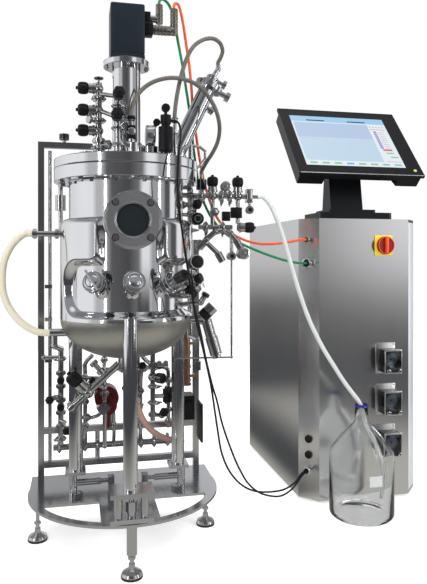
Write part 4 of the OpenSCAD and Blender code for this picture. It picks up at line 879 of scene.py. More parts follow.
def makeForwardFaces():
    shapes = newShapes()
    for at, r, out, kind in forwardFaces:
        if kind == "dial":
            profile = [(0, out - 4), (r + 0.5, out - 4), (r + 0.8, out - 1), (r + 0.4, out + 1.6),
                       (r - 2, out + 2.6), (r - 3.6, out + 0.8), (r * 0.45, out + 0.6), (r * 0.36, out + 3.4),
                       (0, out + 4)]
            addTurned(shapes, at, frontWay, profile, 40, 0)
        elif kind == "plug":
            profile = [(0, out - 4), (r + 0.5, out - 4), (r + 0.8, out), (r - 1, out + 2.8),
                       (r * 0.62, out + 2.8), (r * 0.55, out + 0.6), (0, out + 0.4)]
            addTurned(shapes, at, frontWay, profile, 40, 0)
            socket = [(0, out), (r * 0.5, out), (r * 0.5, out + 0.9), (0, out + 0.9)]
            addTurned(shapes, at, frontWay, socket, 24, 1)
        else:
            addCap(shapes, at, frontWay, r + 0.5, out - 16, out + 0.6, 1, 96, 2.5)
            addBead(shapes, at, frontWay, r * 0.55, out + 0.6, 1.2, 0, 40)
    addTurned(shapes, nozzleFace["at"], frontWay, nozzleFace["profile"], 24, 0)
    matrix = Matrix.Translation(vesselAxis)
    for low, high, bevel, slot in coverBlocks:
        addBlock(shapes, low, high, bevel, matrix, slot, 3)
    makePiece("outletFaces", shapes, mainBody, ["polished_steel", "black_plastic"], sharp=35)


makeForwardFaces()

extraFittings = {
    # radius and points of each small pipe
    "bars": [
        (7, [(160, 40, 1090), (212, 40, 1090)]), (7.5, [(212, 40, 1042), (212, 40, 1160)]),
        (9, [(206, -12, 1082), (214, -36, 1082)]), (6, [(168, 30, 1060), (212, 40, 1056)]),
        (7, [(-206, 152, 372), (-192, 128, 372)]), (7, [(-206, 152, 455), (-226, 126, 455)]),
        (6.5, [(94, 90, 540), (118, 100, 548), (142, 110, 540), (150, 112, 516), (150, 112, 340)]),
        (6.5, [(94, 90, 392), (120, 100, 386), (150, 112, 384)]),
        (7, [(-126, 196, 268), (-126, 172, 292), (-126, 160, 330), (-126, 160, 520), (-126, 150, 560),
             (-104, 130, 590)]),
        (7, [(60, 196, 268), (60, 172, 292), (60, 160, 330), (60, 150, 500), (68, 130, 548)]),
        (6, [(-30, 196, 268), (-30, 172, 292), (-30, 160, 330), (-34, 150, 400), (-60, 110, 430)]),
        (6, [(-60, 96, 440), (-78, 95, 404), (-100, 98, 392), (-130, 112, 388), (-160, 122, 400),
             (-168, 124, 430), (-168, 124, 470)]),
        (7, [(94, 90, 556), (66, 80, 580), (44, 72, 612)]),
        (6, [(-66, 92, 604), (-66, 90, 556), (-66, 80, 500)]),
        (6.5, [(-66, 90, 548), (14, 96, 548), (94, 92, 548)]),
        (6, [(14, 96, 548), (14, 96, 470), (14, 140, 452)]),
        (6, [(-66, 88, 520), (-112, 104, 520), (-150, 124, 520), (-168, 126, 496), (-168, 124, 468)]),
    ],
    # place, way and radius
    "unions": [
        ((212, 40, 1060), upWay, 15), ((212, 40, 1118), upWay, 15), ((188, 40, 1090), rightWay, 14),
        *(((150, 112, z), upWay, 14) for z in (500, 440, 362)),
        *(((-126, 160, z), upWay, 14) for z in (350, 430, 510)),
        ((60, 158, 360), upWay, 14), ((60, 152, 460), upWay, 14), ((-31, 158, 346), upWay, 13),
        ((-36, 92, 548), rightWay, 14), ((-8, 94, 548), rightWay, 14), ((40, 95, 548), rightWay, 14),
        ((68, 93, 548), rightWay, 14), ((14, 96, 516), upWay, 13), ((-66, 90, 580), upWay, 13),
        ((-128, 113, 520), (1, -0.5, 0), 13), ((-168, 124, 440), upWay, 13),
        ((126, 103, 386), (1, 0.3, 0), 13), ((-120, 108, 389), (1, -0.4, 0), 13),
    ],
    # place, way and size
    "knobs": [
        ((212, 40, 1134), upWay, 0.86), ((210, -24, 1058), (0.25, -0.6, 0.76), 0.8),
        ((-192, 128, 352), (0.15, -0.99, 0), 0.72), ((-226, 126, 455), (-0.4, -0.92, 0), 0.72),
        ((150, 112, 470), (0.2, -0.98, 0), 0.8), ((150, 112, 400), (-0.5, -0.86, 0), 0.8),
        ((-168, 124, 458), (0.3, -0.95, 0.1), 0.7), ((14, 96, 490), (-0.3, -0.95, 0), 0.74),
        ((-126, 160, 470), (0.2, -0.98, 0), 0.8), ((60, 155, 410), (-0.3, -0.95, 0), 0.8),
        ((54, 94, 548), (0.1, -0.9, 0.4), 0.66),
    ],
}


# Small pipes, unions and knobs behind the legs and beside the outlet lines
def makeExtraFittings():
    shapes = newShapes()
    for radius, points in extraFittings["bars"]:
        addBar(shapes, points, radius, 0, 14, 6)
    for at, way, radius in extraFittings["unions"]:
        addCap(shapes, at, way, radius, -4, -0.8, 0, 36, 1.2)
        addCap(shapes, at, way, radius, 0.8, 4, 0, 36, 1.2)
        addCap(shapes, at, way, radius - 4, -9, 9, 0, 28, 1)
    for at, way, size in extraFittings["knobs"]:
        addCap(shapes, at, way, 12 * size, -12 * size, 12 * size, 0, 28, 2)
        addCap(shapes, at, way, 8 * size, 8 * size, 31 * size, 0, 24, 1)
        addKnob(shapes, at, way, size, 1)
    makePiece("extraFittings", shapes, mainBody, ["pipe_steel", "black_plastic"], sharp=50)


makeExtraFittings()
print("small fittings made")

screwSets = {
    # name: middle of the ring, its way, ring radius, count, head radius and head height
    "flangeHeads": ((0, 0, 1148.8), (0, 0, -1), 206, 24, 5, 3.4),
    "lanternHeads": ((0, 0, 1225.5), (0, 0, -1), 51, 6, 4.5, 6),
    "lanternScrews": ((0, 0, 1270), upWay, 51.5, 8, 4.2, 5),
    "motorFlangeHeads": ((0, 0, 1515.6), (0, 0, -1), 62, 4, 6, 7),
}


# A ring of points with a six-sided head and a thin washer on each
def makeScrewTree():
    tree, start, end = newGroup(
        "screwRing", "GeometryNodeTree",
        [("Ring Radius", "NodeSocketFloat", 0.1), ("Count", "NodeSocketInt", 8),
         ("Head Radius", "NodeSocketFloat", 0.006), ("Head Height", "NodeSocketFloat", 0.005),
         ("Washer Width", "NodeSocketFloat", 1.18), ("Washer Height", "NodeSocketFloat", 0.25),
         ("Material", "NodeSocketMaterial", None)],
        [("Geometry", "NodeSocketGeometry")],
    )
    ring = tree.nodes.new("GeometryNodeMeshCircle")
    head = tree.nodes.new("GeometryNodeMeshCylinder")
    head.inputs["Vertices"].default_value = 6
    washer = tree.nodes.new("GeometryNodeMeshCylinder")
    washer.inputs["Vertices"].default_value = 24
    lift = tree.nodes.new("ShaderNodeCombineXYZ")
    moved = tree.nodes.new("GeometryNodeTransform")
    both = tree.nodes.new("GeometryNodeJoinGeometry")
    copies = tree.nodes.new("GeometryNodeInstanceOnPoints")
    real = tree.nodes.new("GeometryNodeRealizeInstances")
    finish = tree.nodes.new("GeometryNodeSetMaterial")
    given = start.outputs
    half = mathNode(tree, "MULTIPLY", given["Head Height"], 0.5)
    wide = mathNode(tree, "MULTIPLY", given["Head Radius"], given["Washer Width"])
    thin = mathNode(tree, "MULTIPLY", given["Head Height"], given["Washer Height"])
    for source, target in (
        (half, lift.inputs["Z"]), (given["Count"], ring.inputs["Vertices"]),
        (given["Ring Radius"], ring.inputs["Radius"]), (given["Head Radius"], head.inputs["Radius"]),
        (given["Head Height"], head.inputs["Depth"]), (head.outputs["Mesh"], moved.inputs["Geometry"]),
        (lift.outputs[0], moved.inputs["Translation"]), (wide, washer.inputs["Radius"]),
        (thin, washer.inputs["Depth"]), (moved.outputs[0], both.inputs[0]),
        (washer.outputs["Mesh"], both.inputs[0]), (ring.outputs["Mesh"], copies.inputs["Points"]),
        (both.outputs[0], copies.inputs["Instance"]),
        (copies.outputs[0], real.inputs[0]), (real.outputs[0], finish.inputs["Geometry"]),
        (given["Material"], finish.inputs["Material"]), (finish.outputs[0], end.inputs[0]),
    ):
        tree.links.new(source, target)
    return tree


def makeScrews():
    tree = makeScrewTree()
    sockets = {item.name: item.identifier for item in tree.interface.items_tree if item.in_out == "INPUT"}
    for name, (at, way, ringRadius, count, radius, height) in screwSets.items():
        holder = newPiece(name + "Base", [], [])
        modifier = holder.modifiers.new("screws", "NODES")
        modifier.node_group = tree
        values = {"Ring Radius": ringRadius * mm, "Count": count, "Head Radius": radius * mm,
                  "Head Height": height * mm, "Material": materials["brushed_steel"]}
        for label, value in values.items():
            modifier[sockets[label]] = value
        bpy.context.view_layer.update()
        evaluated = holder.evaluated_get(bpy.context.evaluated_depsgraph_get())
        mesh = bpy.data.meshes.new_from_object(evaluated)
        holder.modifiers.remove(modifier)
        bpy.data.objects.remove(holder)
        turned = Vector(upWay).rotation_difference(Vector(way)).to_matrix().to_4x4()
        mesh.transform(Matrix.Translation(place(*at)) @ turned)
        piece = bpy.data.objects.new(name, mesh)
        bpy.context.scene.collection.objects.link(piece)
        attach(piece, mainBody)


makeScrews()
print("screws made")

hoseBend = {
    "start": (44, 98, 456), "centre": (194, 98, 446), "radius": 150, "thick": 10.2, "steps": 24,
    "clampRadius": 12.5,
    "clamps": [((44, 98, 452), upWay), ((44, 98, 432), upWay), ((188, 98, 296), rightWay)],
}


# Brown lagging over the bend between the legs, with clamps at its ends
def makeHoseBend():
    shapes = newShapes()
    middle = Vector(hoseBend["centre"])
    line = [hoseBend["start"]]
    for k in range(hoseBend["steps"] + 1):
        a = math.pi / 2 * k / hoseBend["steps"]
        line.append(tuple(middle + Vector((-math.cos(a), 0, -math.sin(a))) * hoseBend["radius"]))
    verts, faces, _ = tubeMesh([place(*p) for p in line], hoseBend["thick"] * mm, 24)
    addFaces(shapes, verts, faces, 0)
    for at, way in hoseBend["clamps"]:
        addCap(shapes, at, way, hoseBend["clampRadius"], -4, 4, 1, 40, 1.2)
    makePiece("laggedBend", shapes, mainBody, ["hoseBrown", "brushed_steel"])


makeHoseBend()


motorSet = {
    "half": 52, "proud": 0.9, "screwAt": 40,
    # low, high and edge of the housing's two lengths
    "lengths": [(1533, 1546, 1.5), (1547, 1704.6, 6)],
    # black sockets on the side: reach, half width, half height and middles of the ribs, then low and high
    "sockets": [(75, 17, 3, [1669, 1679, 1689], 1661, 1697), (83, 18, 4, [1630, 1643, 1656], 1623, 1662)],
    # upright plugs: place, low, high, radius, and the lowest and highest ring
    "plugs": [(104, 1667, 1726.5, 11.4, 1668, 1716), (152, 1635, 1716.5, 12.4, 1636, 1706)],
    # level plug: place, length, radius and places of its rings
    "elbow": ((82, 0, 1645), 58, 14.6, [88, 99, 110, 121]),
}


def makeMotorTrim():
    shapes = newShapes()
    matrix = Matrix.Translation(vesselAxis)
    half = motorSet["half"]
    out = half + motorSet["proud"]
    # The square housing is a little proud of the core, with a fine joint between its lengths
    for low, high, bevel in motorSet["lengths"]:
        addBlock(shapes, (-out, -out, low), (out, out, high), bevel, matrix, 0, 4)
    for x in (-motorSet["screwAt"], motorSet["screwAt"]):
        for y in (-motorSet["screwAt"], motorSet["screwAt"]):
            addCap(shapes, (x, y, 0), upWay, 5, 1704, 1706.4, 1, 24, 0.8)
    for reach, wide, thick, ribs, low, high in motorSet["sockets"]:
        for z in ribs:
            addBlock(shapes, (half, -wide, z - thick), (reach, wide, z + thick), 1.5, matrix, 2)
        addBlock(shapes, (half, -wide + 0.4, low), (reach - 0.4, wide - 0.4, high), 2, matrix, 2)
    for x, low, high, radius, first, last in motorSet["plugs"]:
        for z in range(first, last, 12):
            addCap(shapes, (x, 0, 0), upWay, radius + 0.5, z, z + 7, 1, 32, 1)
        addCap(shapes, (x, 0, 0), upWay, radius, low, high, 1, 32, 1)
    at, long, radius, rings = motorSet["elbow"]
    addCap(shapes, at, rightWay, radius, 0, long, 1, 32, 1)
    for x in rings:
        addCap(shapes, (x, at[1], at[2]), rightWay, radius + 1, 0, 6, 1, 32, 1)
    makePiece("motorTrim", shapes, mainBody, ["motor_paint", "connectorMetal", "black_plastic"], sharp=30)


makeMotorTrim()
print("motor made")


pumpSet = {
    "x": 993, "y": 185, "z": [534, 379, 224],
    # two corners, edge and finish: back plate, frame of the cover, its lip and the hinge
    "blocks": [
        ((-40, -4, -57), (40, 0, 59), 1.2, 1), ((-33, -62, 34), (37, -56.4, 40), 1.4, 1),
        ((33, -62, -48), (37, -56.4, 36), 1.2, 1), ((-33, -62, -48), (-29.6, -56.4, 36), 1.2, 1),
        ((-30, -62, -48), (34, -56.4, -28), 1.4, 0), ((-31, -62.6, -48.4), (35, -58, -45), 1.2, 1),
        ((-33.6, -46, -20), (-30.6, -16, 22), 1, 3),
    ],
    # two corners, middle, radius and depth
    "recess": ((-31, -56, -46), (35, -4, 38), (2, 2), 29, 46),
    "cover": ((-29.8, -61.2, -28.4), (33.4, -57.6, 34.4)),
    "latches": [(-20, -38), (24, -38)], "latchMark": [(0, 71.3), (3, 71.3), (3, 71.8), (0, 71.8)],
    "screws": [(-34, -51), (-34, 53), (34, -51), (34, 53)],
}


# A block whose front has a round recess: corners in mm, middle and radius of the recess, its depth
def addRecessed(shapes, low, high, middle, radius, depth, matrix, slot=0, sides=48):
    verts, faces = [], []
    front, back = low[1], high[1]
    outer, rim = [], []
    for k in range(sides):
        a = 2 * math.pi * (k + 0.5) / sides
        c, s = math.cos(a), math.sin(a)
        reach = min((high[0] - middle[0]) / c if c > 0 else (low[0] - middle[0]) / c,
                    (high[2] - middle[1]) / s if s > 0 else (low[2] - middle[1]) / s)
        outer.append((middle[0] + c * reach, middle[1] + s * reach))
        rim.append((middle[0] + c * radius, middle[1] + s * radius))
    for corner in ((low[0], low[2]), (high[0], low[2]), (high[0], high[2]), (low[0], high[2])):
        outer[min(range(sides), key=lambda k: math.dist(outer[k], corner))] = corner
    inner = [(middle[0] + (x - middle[0]) * 0.97, middle[1] + (z - middle[1]) * 0.97) for x, z in outer]
    rings = [[(x, back, z) for x, z in outer], [(x, front + 1.2, z) for x, z in outer],
             [(x, front, z) for x, z in inner],
             [(x, front, z) for x, z in rim], [(x, front + depth, z) for x, z in rim]]
    for ring in rings:
        verts += [matrix @ (Vector(p) * mm) for p in ring]
    for i in range(len(rings) - 1):
        for k in range(sides):
            n = (k + 1) % sides
            faces.append((i * sides + k, i * sides + n, (i + 1) * sides + n, (i + 1) * sides + k))
    faces.append(tuple(reversed(range(sides))))
    faces.append(tuple((len(rings) - 1) * sides + k for k in range(sides)))
    addFaces(shapes, verts, faces, slot)


def makePumpHeads():
    shapes, glass = newShapes(), newShapes()
    x, y = pumpSet["x"], pumpSet["y"]
    low, high, middle, radius, depth = pumpSet["recess"]
    for z in pumpSet["z"]:
        matrix = Matrix.Translation(place(x, y, z))
        for blockLow, blockHigh, bevel, slot in pumpSet["blocks"]:
            addBlock(shapes, blockLow, blockHigh, bevel, matrix, slot)
        addRecessed(shapes, low, high, middle, radius, depth, matrix)
        addBlock(glass, *pumpSet["cover"], 0.6, matrix)
        for dx, dz in pumpSet["latches"]:
            addCap(shapes, (x + dx, y, z + dz), frontWay, 7.4, 60, 71.4, 2, 28, 1.2)
            addTurned(shapes, (x + dx, y, z + dz), frontWay, pumpSet["latchMark"], 6, 3)
        for dx, dz in pumpSet["screws"]:
            addCap(shapes, (x + dx, y, z + dz), frontWay, 3, 3.6, 6, 2, 16, 0.8)
    slots = ["pump_head_plastic", "cabinetTrim", "polished_steel", "socketBlack"]
    makePiece("pumpHeads", shapes, mainBody, slots, ["pump_heads"], sharp=30)
    makePiece("pumpCovers", glass, mainBody, ["smokyCover"], sharp=30)


makePumpHeads()

switchSet = {
    "at": (985, 185, 963), "plate": ((-36, -4.3, -38), (36, -0.2, 38)),
    "bar": ((-5, -38, -30), (5, -20, 30)), "bead": (31.4, 26.4, 1.8),
    "disc": [(0, 4.6), (24, 4.6), (24, 13), (33, 14), (34, 15), (34, 25), (33, 27), (30.5, 27.4),
             (27.5, 23.4), (0, 23)],
}


def makeSwitch():
    at = switchSet["at"]
    matrix = Matrix.Translation(place(*at))
    plate = newShapes()
    addBlock(plate, *switchSet["plate"], 1.6, matrix, 0, 3)
    makePiece("switchPlate", plate, mainBody, ["switch_yellow"], ["switch_plate"], sharp=30)
    shapes = newShapes()
    addTurned(shapes, at, frontWay, switchSet["disc"], 72, 0)
    addBead(shapes, at, frontWay, *switchSet["bead"], 1, 72)
    addBlock(shapes, *switchSet["bar"], 2.4, matrix, 1, 4)
    makePiece("switchKnob", shapes, "main_switch", ["switch_red", "handleRed"], ["switch_knob"], sharp=35)


makeSwitch()

glandSet = {
    "foot": (697, 217), "way": (-0.741, -0.672, 0), "sockets": [236, 177],
    "socket": [(0, 4), (14.8, 4), (14.8, 5.2), (13.4, 6.4), (11.4, 6.6), (11.2, 8.4), (9.8, 9), (0, 9)],
    # height and size
    "nuts": [(983, 1), (896, 1.5), (120, 1.1)],
    "nut": [(0, 1), (14, 1), (14.4, 2.4), (14, 5), (12.4, 6.2), (12.2, 8), (13.2, 9), (13.4, 17), (12.6, 20),
            (10.6, 22), (0, 22)],
    "mouth": [(0, 21), (9, 21), (9, 22.5), (0, 22.5)],
}


def makeGlands():
    shapes = newShapes()
    foot, way = glandSet["foot"], glandSet["way"]
    for z in glandSet["sockets"]:
        addTurned(shapes, (*foot, z), way, glandSet["socket"], 40, 1)
    for z, size in glandSet["nuts"]:
        addTurned(shapes, (*foot, z), way, [(r * size, h) for r, h in glandSet["nut"]], 48, 0)
        addTurned(shapes, (*foot, z), way, [(r * size, h) for r, h in glandSet["mouth"]], 40, 1)
    makePiece("glandTrim", shapes, mainBody, ["polished_steel", "black_plastic"], sharp=35)


makeGlands()

cabinetSet = {"right": 1148, "front": 185, "chamfer": (58, 64), "low": 26, "high": 1052, "inset": 3}


# Pale strip over the slanted right corner: a painted reflection, as the corner is the same brushed steel as
# the cabinet
def makeCornerReflectionStrip():
    x, y = cabinetSet["right"], cabinetSet["front"]
    dx, dy = cabinetSet["chamfer"]
    along = Vector((dx, dy, 0)).normalized()
    out = Vector((dy, -dx, 0)).normalized()
    middle = Vector((x - dx / 2, y + dy / 2, 0))
    turned = Matrix((along, -out, Vector(upWay))).transposed().to_4x4()
    matrix = Matrix.Translation(place(*middle)) @ turned
    half = math.hypot(dx, dy) / 2 - cabinetSet["inset"]
    shapes = newShapes()
    addBlock(shapes, (-half, -0.7, cabinetSet["low"]), (half, 0.6, cabinetSet["high"]), 0.5, matrix)
    makePiece("cornerReflectionStrip", shapes, mainBody, ["cornerReflectionPaint"])


makeCornerReflectionStrip()
print("cabinet fittings made")


monitorSet = {
    "at": (908, 190, 1232), "lean": -41, "front": 0.5, "layer": 0.14, "thick": 0.1,
    # edges of the casing: two corners, edge and finish; the first, along the lower front edge, is a rounded
    # edge with a pale metallic finish on the black plastic, a painted highlight
    "edges": [((-251, -0.9, 0.6), (251, 1, 4.4), 0.8, 2), ((-257.3, -0.7, 389), (257.3, 4, 394.6), 2, 0)],
    "button": (226, 0, 30), "buttonRadius": 6.5,
    "curve": {"points": 22, "step": 13.4, "from": -204, "long": 14, "high": 190, "thick": 1.6},
}
screenFields = [
    # left, right, low and high edge of the first field, finish, how many, step to the next, and its layer
    (-217, 193, 316, 352, "litBar", 1, (0, 0), 1), (-150, -72, 322, 329, "litDark", 1, (0, 0), 2),
    (28, 108, 322, 329, "litDark", 1, (0, 0), 2), (-210, 112, 76, 123, "litPlotLow", 3, (0, 47), 1),
    (-210, 112, 217, 264, "litPlot", 2, (0, 47), 1), (118, 126, 294, 302, "litPink", 5, (14, 0), 1),
    (118, 128, 280, 284, "litRed", 5, (14, 0), 1), (126, 140, 160, 169, "litPurple", 9, (0, 12.6), 1),
    (146, 172, 160, 164, "litPink", 9, (0, 12.6), 1), (132, 172, 146, 156, "litRed", 1, (0, 0), 1),
    (140, 172, 128, 136, "litGreen", 1, (0, 0), 1), (150, 182, 104, 112, "litGreen", 1, (0, 0), 1),
    (126, 186, 78, 82, "litPink", 1, (0, 0), 1), (-200, -170, 56, 66, "litGreen", 3, (50, 0), 1),
    (-50, -20, 56, 66, "litBlue", 1, (0, 0), 1), (0, 30, 56, 66, "litGreen", 4, (50, 0), 1),
]


def makeScreenPicture():
    lean = Matrix.Rotation(math.radians(monitorSet["lean"]), 4, "X")
    matrix = Matrix.Translation(place(*monitorSet["at"])) @ lean
    shapes = newShapes()
    slots = list(litColors)

    def addField(left, right, low, high, name, layer):
        front = monitorSet["front"] - monitorSet["layer"] * layer
        back = front + monitorSet["thick"]
        addBlock(shapes, (left, front, low), (right, back, high), 0, matrix, slots.index(name))

    for left, right, low, high, name, count, (stepX, stepZ), layer in screenFields:
        for k in range(count):
            addField(left + stepX * k, right + stepX * k, low + stepZ * k, high + stepZ * k, name, layer)
    curve = monitorSet["curve"]
    for k in range(curve["points"]):
        left = curve["from"] + curve["step"] * k
        height = curve["high"] + 26 * math.sin(k * 0.36) + 9 * math.sin(k * 1.3)
        addField(left, left + curve["long"], height, height + curve["thick"], "litPink", 2)
    makePiece("screenPicture", shapes, "monitor", slots)
    trim = newShapes()
    for low, high, bevel, slot in monitorSet["edges"]:
        addBlock(trim, low, high, bevel, matrix, slot, 3)
    turned = matrix.to_3x3()
    button = (matrix.translation - vesselAxis) / mm + turned @ Vector(monitorSet["button"])
    addCap(trim, button, turned @ Vector(frontWay), monitorSet["buttonRadius"], -0.5, 2.4, 1, 28, 1)
    makePiece("monitorTrim", trim, "monitor", ["monitor_plastic", "litYellow", "bezelHighlightPaint"], sharp=35)


makeScreenPicture()
print("monitor made")

bottleSet = {
    "at": (838, 67, 0), "radius": 113.5, "high": 395, "neck": 23,
    "ring": [(23.2, 386), (25, 386), (25.4, 387), (25.4, 391), (25, 392), (23.2, 392)],
    # half its turn in degrees, its low and high edge, and how far its two faces stand out
    "field": {"half": 12, "low": 138, "high": 174, "out": (0.15, 0.55), "steps": 12},
}


def makeBottle():
    r, high, neck = bottleSet["radius"], bottleSet["high"], bottleSet["neck"]
    outside = [(0, 7), (70, 6), (88, 1), (96, 0.2), (101, 0.8), (106, 3), (110.5, 7), (112.8, 12), (r, 18),
               (r, 214), (r - 0.5, 221), (r - 2.2, 228), (r - 5.4, 236), (70, 284), (29, 328), (25, 334),
               (neck + 0.4, 341), (neck, 348), (neck, high - 2), (neck - 1, high - 0.3)]
    inside = [(neck - 3.2, high - 0.3), (neck - 3.5, 348), (21, 334), (25.4, 327), (67, 283), (r - 8, 234),
              (r - 5.5, 226), (r - 3.9, 220), (r - 3.5, 214), (r - 3.5, 20), (106, 13), (98, 10), (0, 12.5)]
    shapes = newShapes()
    addTurned(shapes, bottleSet["at"], upWay, outside + inside, 128)
    makePiece("bottleGlass", shapes, mainBody, ["bottle_glass"], ["glass_bottle"], sharp=180)
    trim = newShapes()
    addTurned(trim, bottleSet["at"], upWay, bottleSet["ring"], 64, closed=True)
    makePiece("bottleRing", trim, mainBody, ["ringBlue"])


# Plain field for writing on
def makeWritingField():
    patch = bottleSet["field"]
    x, y, _ = bottleSet["at"]
    count = patch["steps"]
    verts = []
    for out in patch["out"]:
        face = bottleSet["radius"] + out
        for z in (patch["low"], patch["high"]):
            for k in range(count + 1):
                a = math.radians(patch["half"] * (2 * k / count - 1))
                verts.append(place(x + face * math.sin(a), y - face * math.cos(a), z))
    n = count + 1
    faces = []
    for k in range(count):
        faces += [(2 * n + k, 2 * n + k + 1, 3 * n + k + 1, 3 * n + k), (k + 1, k, n + k, n + k + 1),
                  (k, k + 1, 2 * n + k + 1, 2 * n + k), (n + k + 1, n + k, 3 * n + k, 3 * n + k + 1)]
    faces += [(0, 2 * n, 3 * n, n), (count, n + count, 3 * n + count, 2 * n + count)]
    written = newShapes()
    addFaces(written, verts, faces)
    makePiece("writingField", written, mainBody, ["whiteField"])


makeBottle()
makeWritingField()
print("bottle made")

footSet = {"places": [(0, -192), (-278, 110), (278, 110), (0, 232)], "pad": 31}


def makeFootPads():
    shapes = newShapes()
    pad = footSet["pad"]
    profile = [(0, 0.2), (pad, 0.2), (pad + 0.6, 1.2), (pad + 0.6, 6), (pad - 0.4, 7.4), (pad - 3, 7.4),
               (0, 7.4)]
    for x, y in footSet["places"]:
        addTurned(shapes, (x, y, 0), upWay, profile, 56)
    makePiece("footPads", shapes, mainBody, ["seal_rubber"])


makeFootPads()
print("foot pads made")


lamps = [
    # name, place in mm, aimed at, size in m, power in W
    ("keyLamp", (-1500, -2300, 2600), (200, 0, 900), (1.6, 1.6), 60),
    ("rightLamp", (2600, -1700, 2300), (300, 100, 800), (1.4, 1.8), 45),
    ("topLamp", (300, 200, 3600), (300, 200, 0), (2.4, 2.4), 70),
    # Narrow ones that polished metal and glass show as bright lines
    ("leftStrip", (-2300, -2300, 1200), (300, 0, 800), (0.14, 1.7), 9),
    ("rightStrip", (3300, -1700, 1100), (500, 0, 700), (0.14, 1.7), 9),
]


def makeLamps():
    for name, at, target, size, power in lamps:
        data = bpy.data.lights.new(name, "AREA")
        data.shape = "RECTANGLE"
        data.size, data.size_y = size
        data.energy = power
        lamp = bpy.data.objects.new(name, data)
        lamp.visible_glossy = "Strip" in name
        lamp.location = place(*at)
        lamp.rotation_euler = (place(*target) - place(*at)).to_track_quat("-Z", "Y").to_euler()
        bpy.context.scene.collection.objects.link(lamp)


floorSet = {
    "half": 4, "paper": (0.8, 0.8, 0.8), "plain": (0.52, 0.52, 0.52),
    # What polished metal sees of it: pale near the object, dark from one distance to another
    "near": (0.55, 0.54, 0.50), "far": (0.07, 0.072, 0.078), "darkens": (1.1, 2.1),
    # and dark between the vessel and the cabinet, a painted shade where the two shade the floor, in metres:
    # right edge, left edge and front edge
    "paintedShadeRight": (0.2417, 0.1583), "paintedShadeLeft": (-0.3, 0.0333), "paintedShadeFront": (-0.4, -0.0667),
}


def makeFloor():
    half = floorSet["half"]
    floor = newPiece("floor", [(-half, -half, 0), (half, -half, 0), (half, half, 0), (-half, half, 0)],
                     [(0, 1, 2, 3)], smooth=False)
    material = bpy.data.materials.new("floorPaper")
    material.use_nodes = True
    tree = material.node_tree
    tree.nodes.clear()
    link = tree.links.new
    out = tree.nodes.new("ShaderNodeOutputMaterial")
    paper = tree.nodes.new("ShaderNodeBsdfDiffuse")
    paper.inputs["Color"].default_value = (*floorSet["paper"], 1)
    glow = tree.nodes.new("ShaderNodeEmission")
    path = tree.nodes.new("ShaderNodeLightPath")
    coords = tree.nodes.new("ShaderNodeTexCoord")
    away = tree.nodes.new("ShaderNodeVectorMath")
    away.operation = "LENGTH"
    link(coords.outputs["Object"], away.inputs[0])
    far = fade(tree, away.outputs["Value"], *floorSet["darkens"])
    spot = tree.nodes.new("ShaderNodeSeparateXYZ")
    link(coords.outputs["Object"], spot.inputs[0])
    # Painted shade: glossy rays see the floor dark where the vessel and the cabinet shade it
    right = fade(tree, spot.outputs["X"], *floorSet["paintedShadeRight"])
    left = fade(tree, spot.outputs["X"], *floorSet["paintedShadeLeft"])
    front = fade(tree, spot.outputs["Y"], *floorSet["paintedShadeFront"])
    gap = mathNode(tree, "MULTIPLY", mathNode(tree, "MULTIPLY", right, left), front)
    shine = mixColor(tree, mathNode(tree, "MAXIMUM", far, gap), floorSet["near"], floorSet["far"])
    shown = mathNode(tree, "MAXIMUM", path.outputs["Is Camera Ray"], path.outputs["Is Transmission Ray"])
    link(mixColor(tree, shown, shine, floorSet["plain"]), glow.inputs["Color"])
    link(mathNode(tree, "MAXIMUM", shown, path.outputs["Is Glossy Ray"]), glow.inputs["Strength"])
    both = tree.nodes.new("ShaderNodeAddShader")
    lit = tree.nodes.new("ShaderNodeMixShader")
    black = tree.nodes.new("ShaderNodeBsdfDiffuse")
    black.inputs["Color"].default_value = (0, 0, 0, 1)
    link(path.outputs["Is Glossy Ray"], lit.inputs[0])
    link(paper.outputs[0], lit.inputs[1])
    link(black.outputs[0], lit.inputs[2])
    link(lit.outputs[0], both.inputs[0])
    link(glow.outputs[0], both.inputs[1])
    link(both.outputs[0], out.inputs[0])
    floor.data.materials.append(material)


# What polished metal sees round the room, as broad pale and dark boards:
# degrees from the front towards the right, and brightness there
roomLeft = [
    (-180, 0.45), (-150, 0.75), (-110, 0.95), (-75, 0.95), (-65, 0.55), (-45, 0.55), (-35, 0.12), (0, 0.08),
]
roomRight = [
    (0, 0.08), (20, 0.2), (28, 0.95), (40, 0.95), (48, 0.4), (74, 0.4), (80, 0.1), (90, 0.1), (95, 0.95),
    (105, 0.95), (115, 0.1), (132, 0.1), (145, 0.95), (160, 0.9), (180, 0.45),
]
roomSet = {
    "gain": 1.12, "blue": 1.02, "diffuse": (0.62, 0.63, 0.64), "below": (0.08, 0.08, 0.08),
    # How high the ceiling and the bright box over the object begin and are full
    "ceiling": (0.34, 0.35, 0.37), "ceilingFrom": (0.35, 0.62),
    "box": (1.0, 1.0, 1.0), "boxFrom": (0.9, 0.9333),
    # How low the walls end, everywhere and between some turns, with how soft the ends are there
    "deepFrom": (-0.24, -0.44), "lowFrom": (-0.0094, -0.0719), "lowWalls": [(14, 46, 6), (-178, -146, 8)],
}


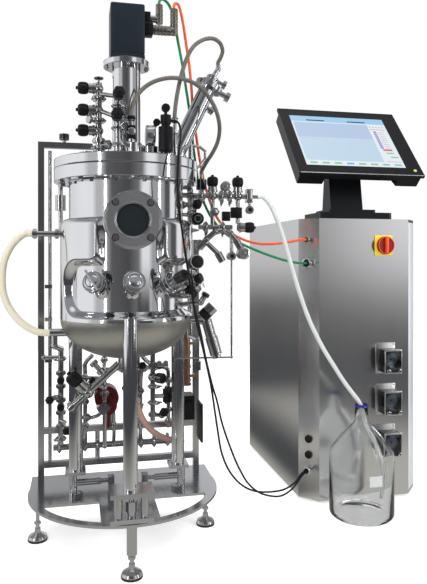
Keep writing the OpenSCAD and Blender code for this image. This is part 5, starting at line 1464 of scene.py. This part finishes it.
# A strip of wall brightness from one turn to another
def makeWalls(tree, around, stops, low, high):
    ramp = tree.nodes.new("ShaderNodeValToRGB")
    elements = ramp.color_ramp.elements
    while len(elements) < len(stops):
        elements.new(0.5)
    for element, (angle, value) in zip(elements, stops):
        element.position = (angle - low) / (high - low)
        value *= roomSet["gain"]
        element.color = (value, value, value * roomSet["blue"], 1)
    tree.links.new(mathNode(tree, "ADD", around, -low / 180, clamp=True), ramp.inputs[0])
    return ramp.outputs[0]


def makeWorld():
    world = bpy.data.worlds.new("room")
    bpy.context.scene.world = world
    world.use_nodes = True
    tree = world.node_tree
    background = tree.nodes["Background"]
    path = tree.nodes.new("ShaderNodeLightPath")
    coords = tree.nodes.new("ShaderNodeTexCoord")
    parts = tree.nodes.new("ShaderNodeSeparateXYZ")
    tree.links.new(coords.outputs["Generated"], parts.inputs[0])
    frontward = mathNode(tree, "MULTIPLY", parts.outputs["Y"], -1)
    turn = mathNode(tree, "ARCTAN2", parts.outputs["X"], frontward)
    around = mathNode(tree, "MULTIPLY", turn, 1 / math.pi)
    height = parts.outputs["Z"]
    left = makeWalls(tree, around, roomLeft, -180, 0)
    right = makeWalls(tree, around, roomRight, 0, 180)
    walls = mixColor(tree, mathNode(tree, "GREATER_THAN", around, 0.0), left, right)
    # Low down some of the walls give way to a darker floor
    windows = None
    for start, end, soft in roomSet["lowWalls"]:
        rise = fade(tree, around, start / 180, (start + soft) / 180)
        fall = fade(tree, around, end / 180, (end - soft) / 180)
        window = mathNode(tree, "MULTIPLY", rise, fall)
        windows = window if windows is None else mathNode(tree, "MAXIMUM", windows, window)
    sunk = mathNode(tree, "MULTIPLY", fade(tree, height, *roomSet["lowFrom"]), windows)
    sunk = mathNode(tree, "MAXIMUM", sunk, fade(tree, height, *roomSet["deepFrom"]))
    walls = mixColor(tree, sunk, walls, roomSet["below"])
    # A grey ceiling with a bright light over the object
    room = mixColor(tree, fade(tree, height, *roomSet["ceilingFrom"]), walls, roomSet["ceiling"])
    room = mixColor(tree, fade(tree, height, *roomSet["boxFrom"]), room, roomSet["box"])
    plain = mixColor(tree, path.outputs["Is Diffuse Ray"], (1.0, 1.0, 1.0), roomSet["diffuse"])
    tree.links.new(mixColor(tree, path.outputs["Is Glossy Ray"], plain, room), background.inputs["Color"])
    background.inputs["Strength"].default_value = 1


makeLamps()
makeFloor()
makeWorld()
bpy.context.scene.view_settings.view_transform = "Standard"
print("floor, lamps and world made")
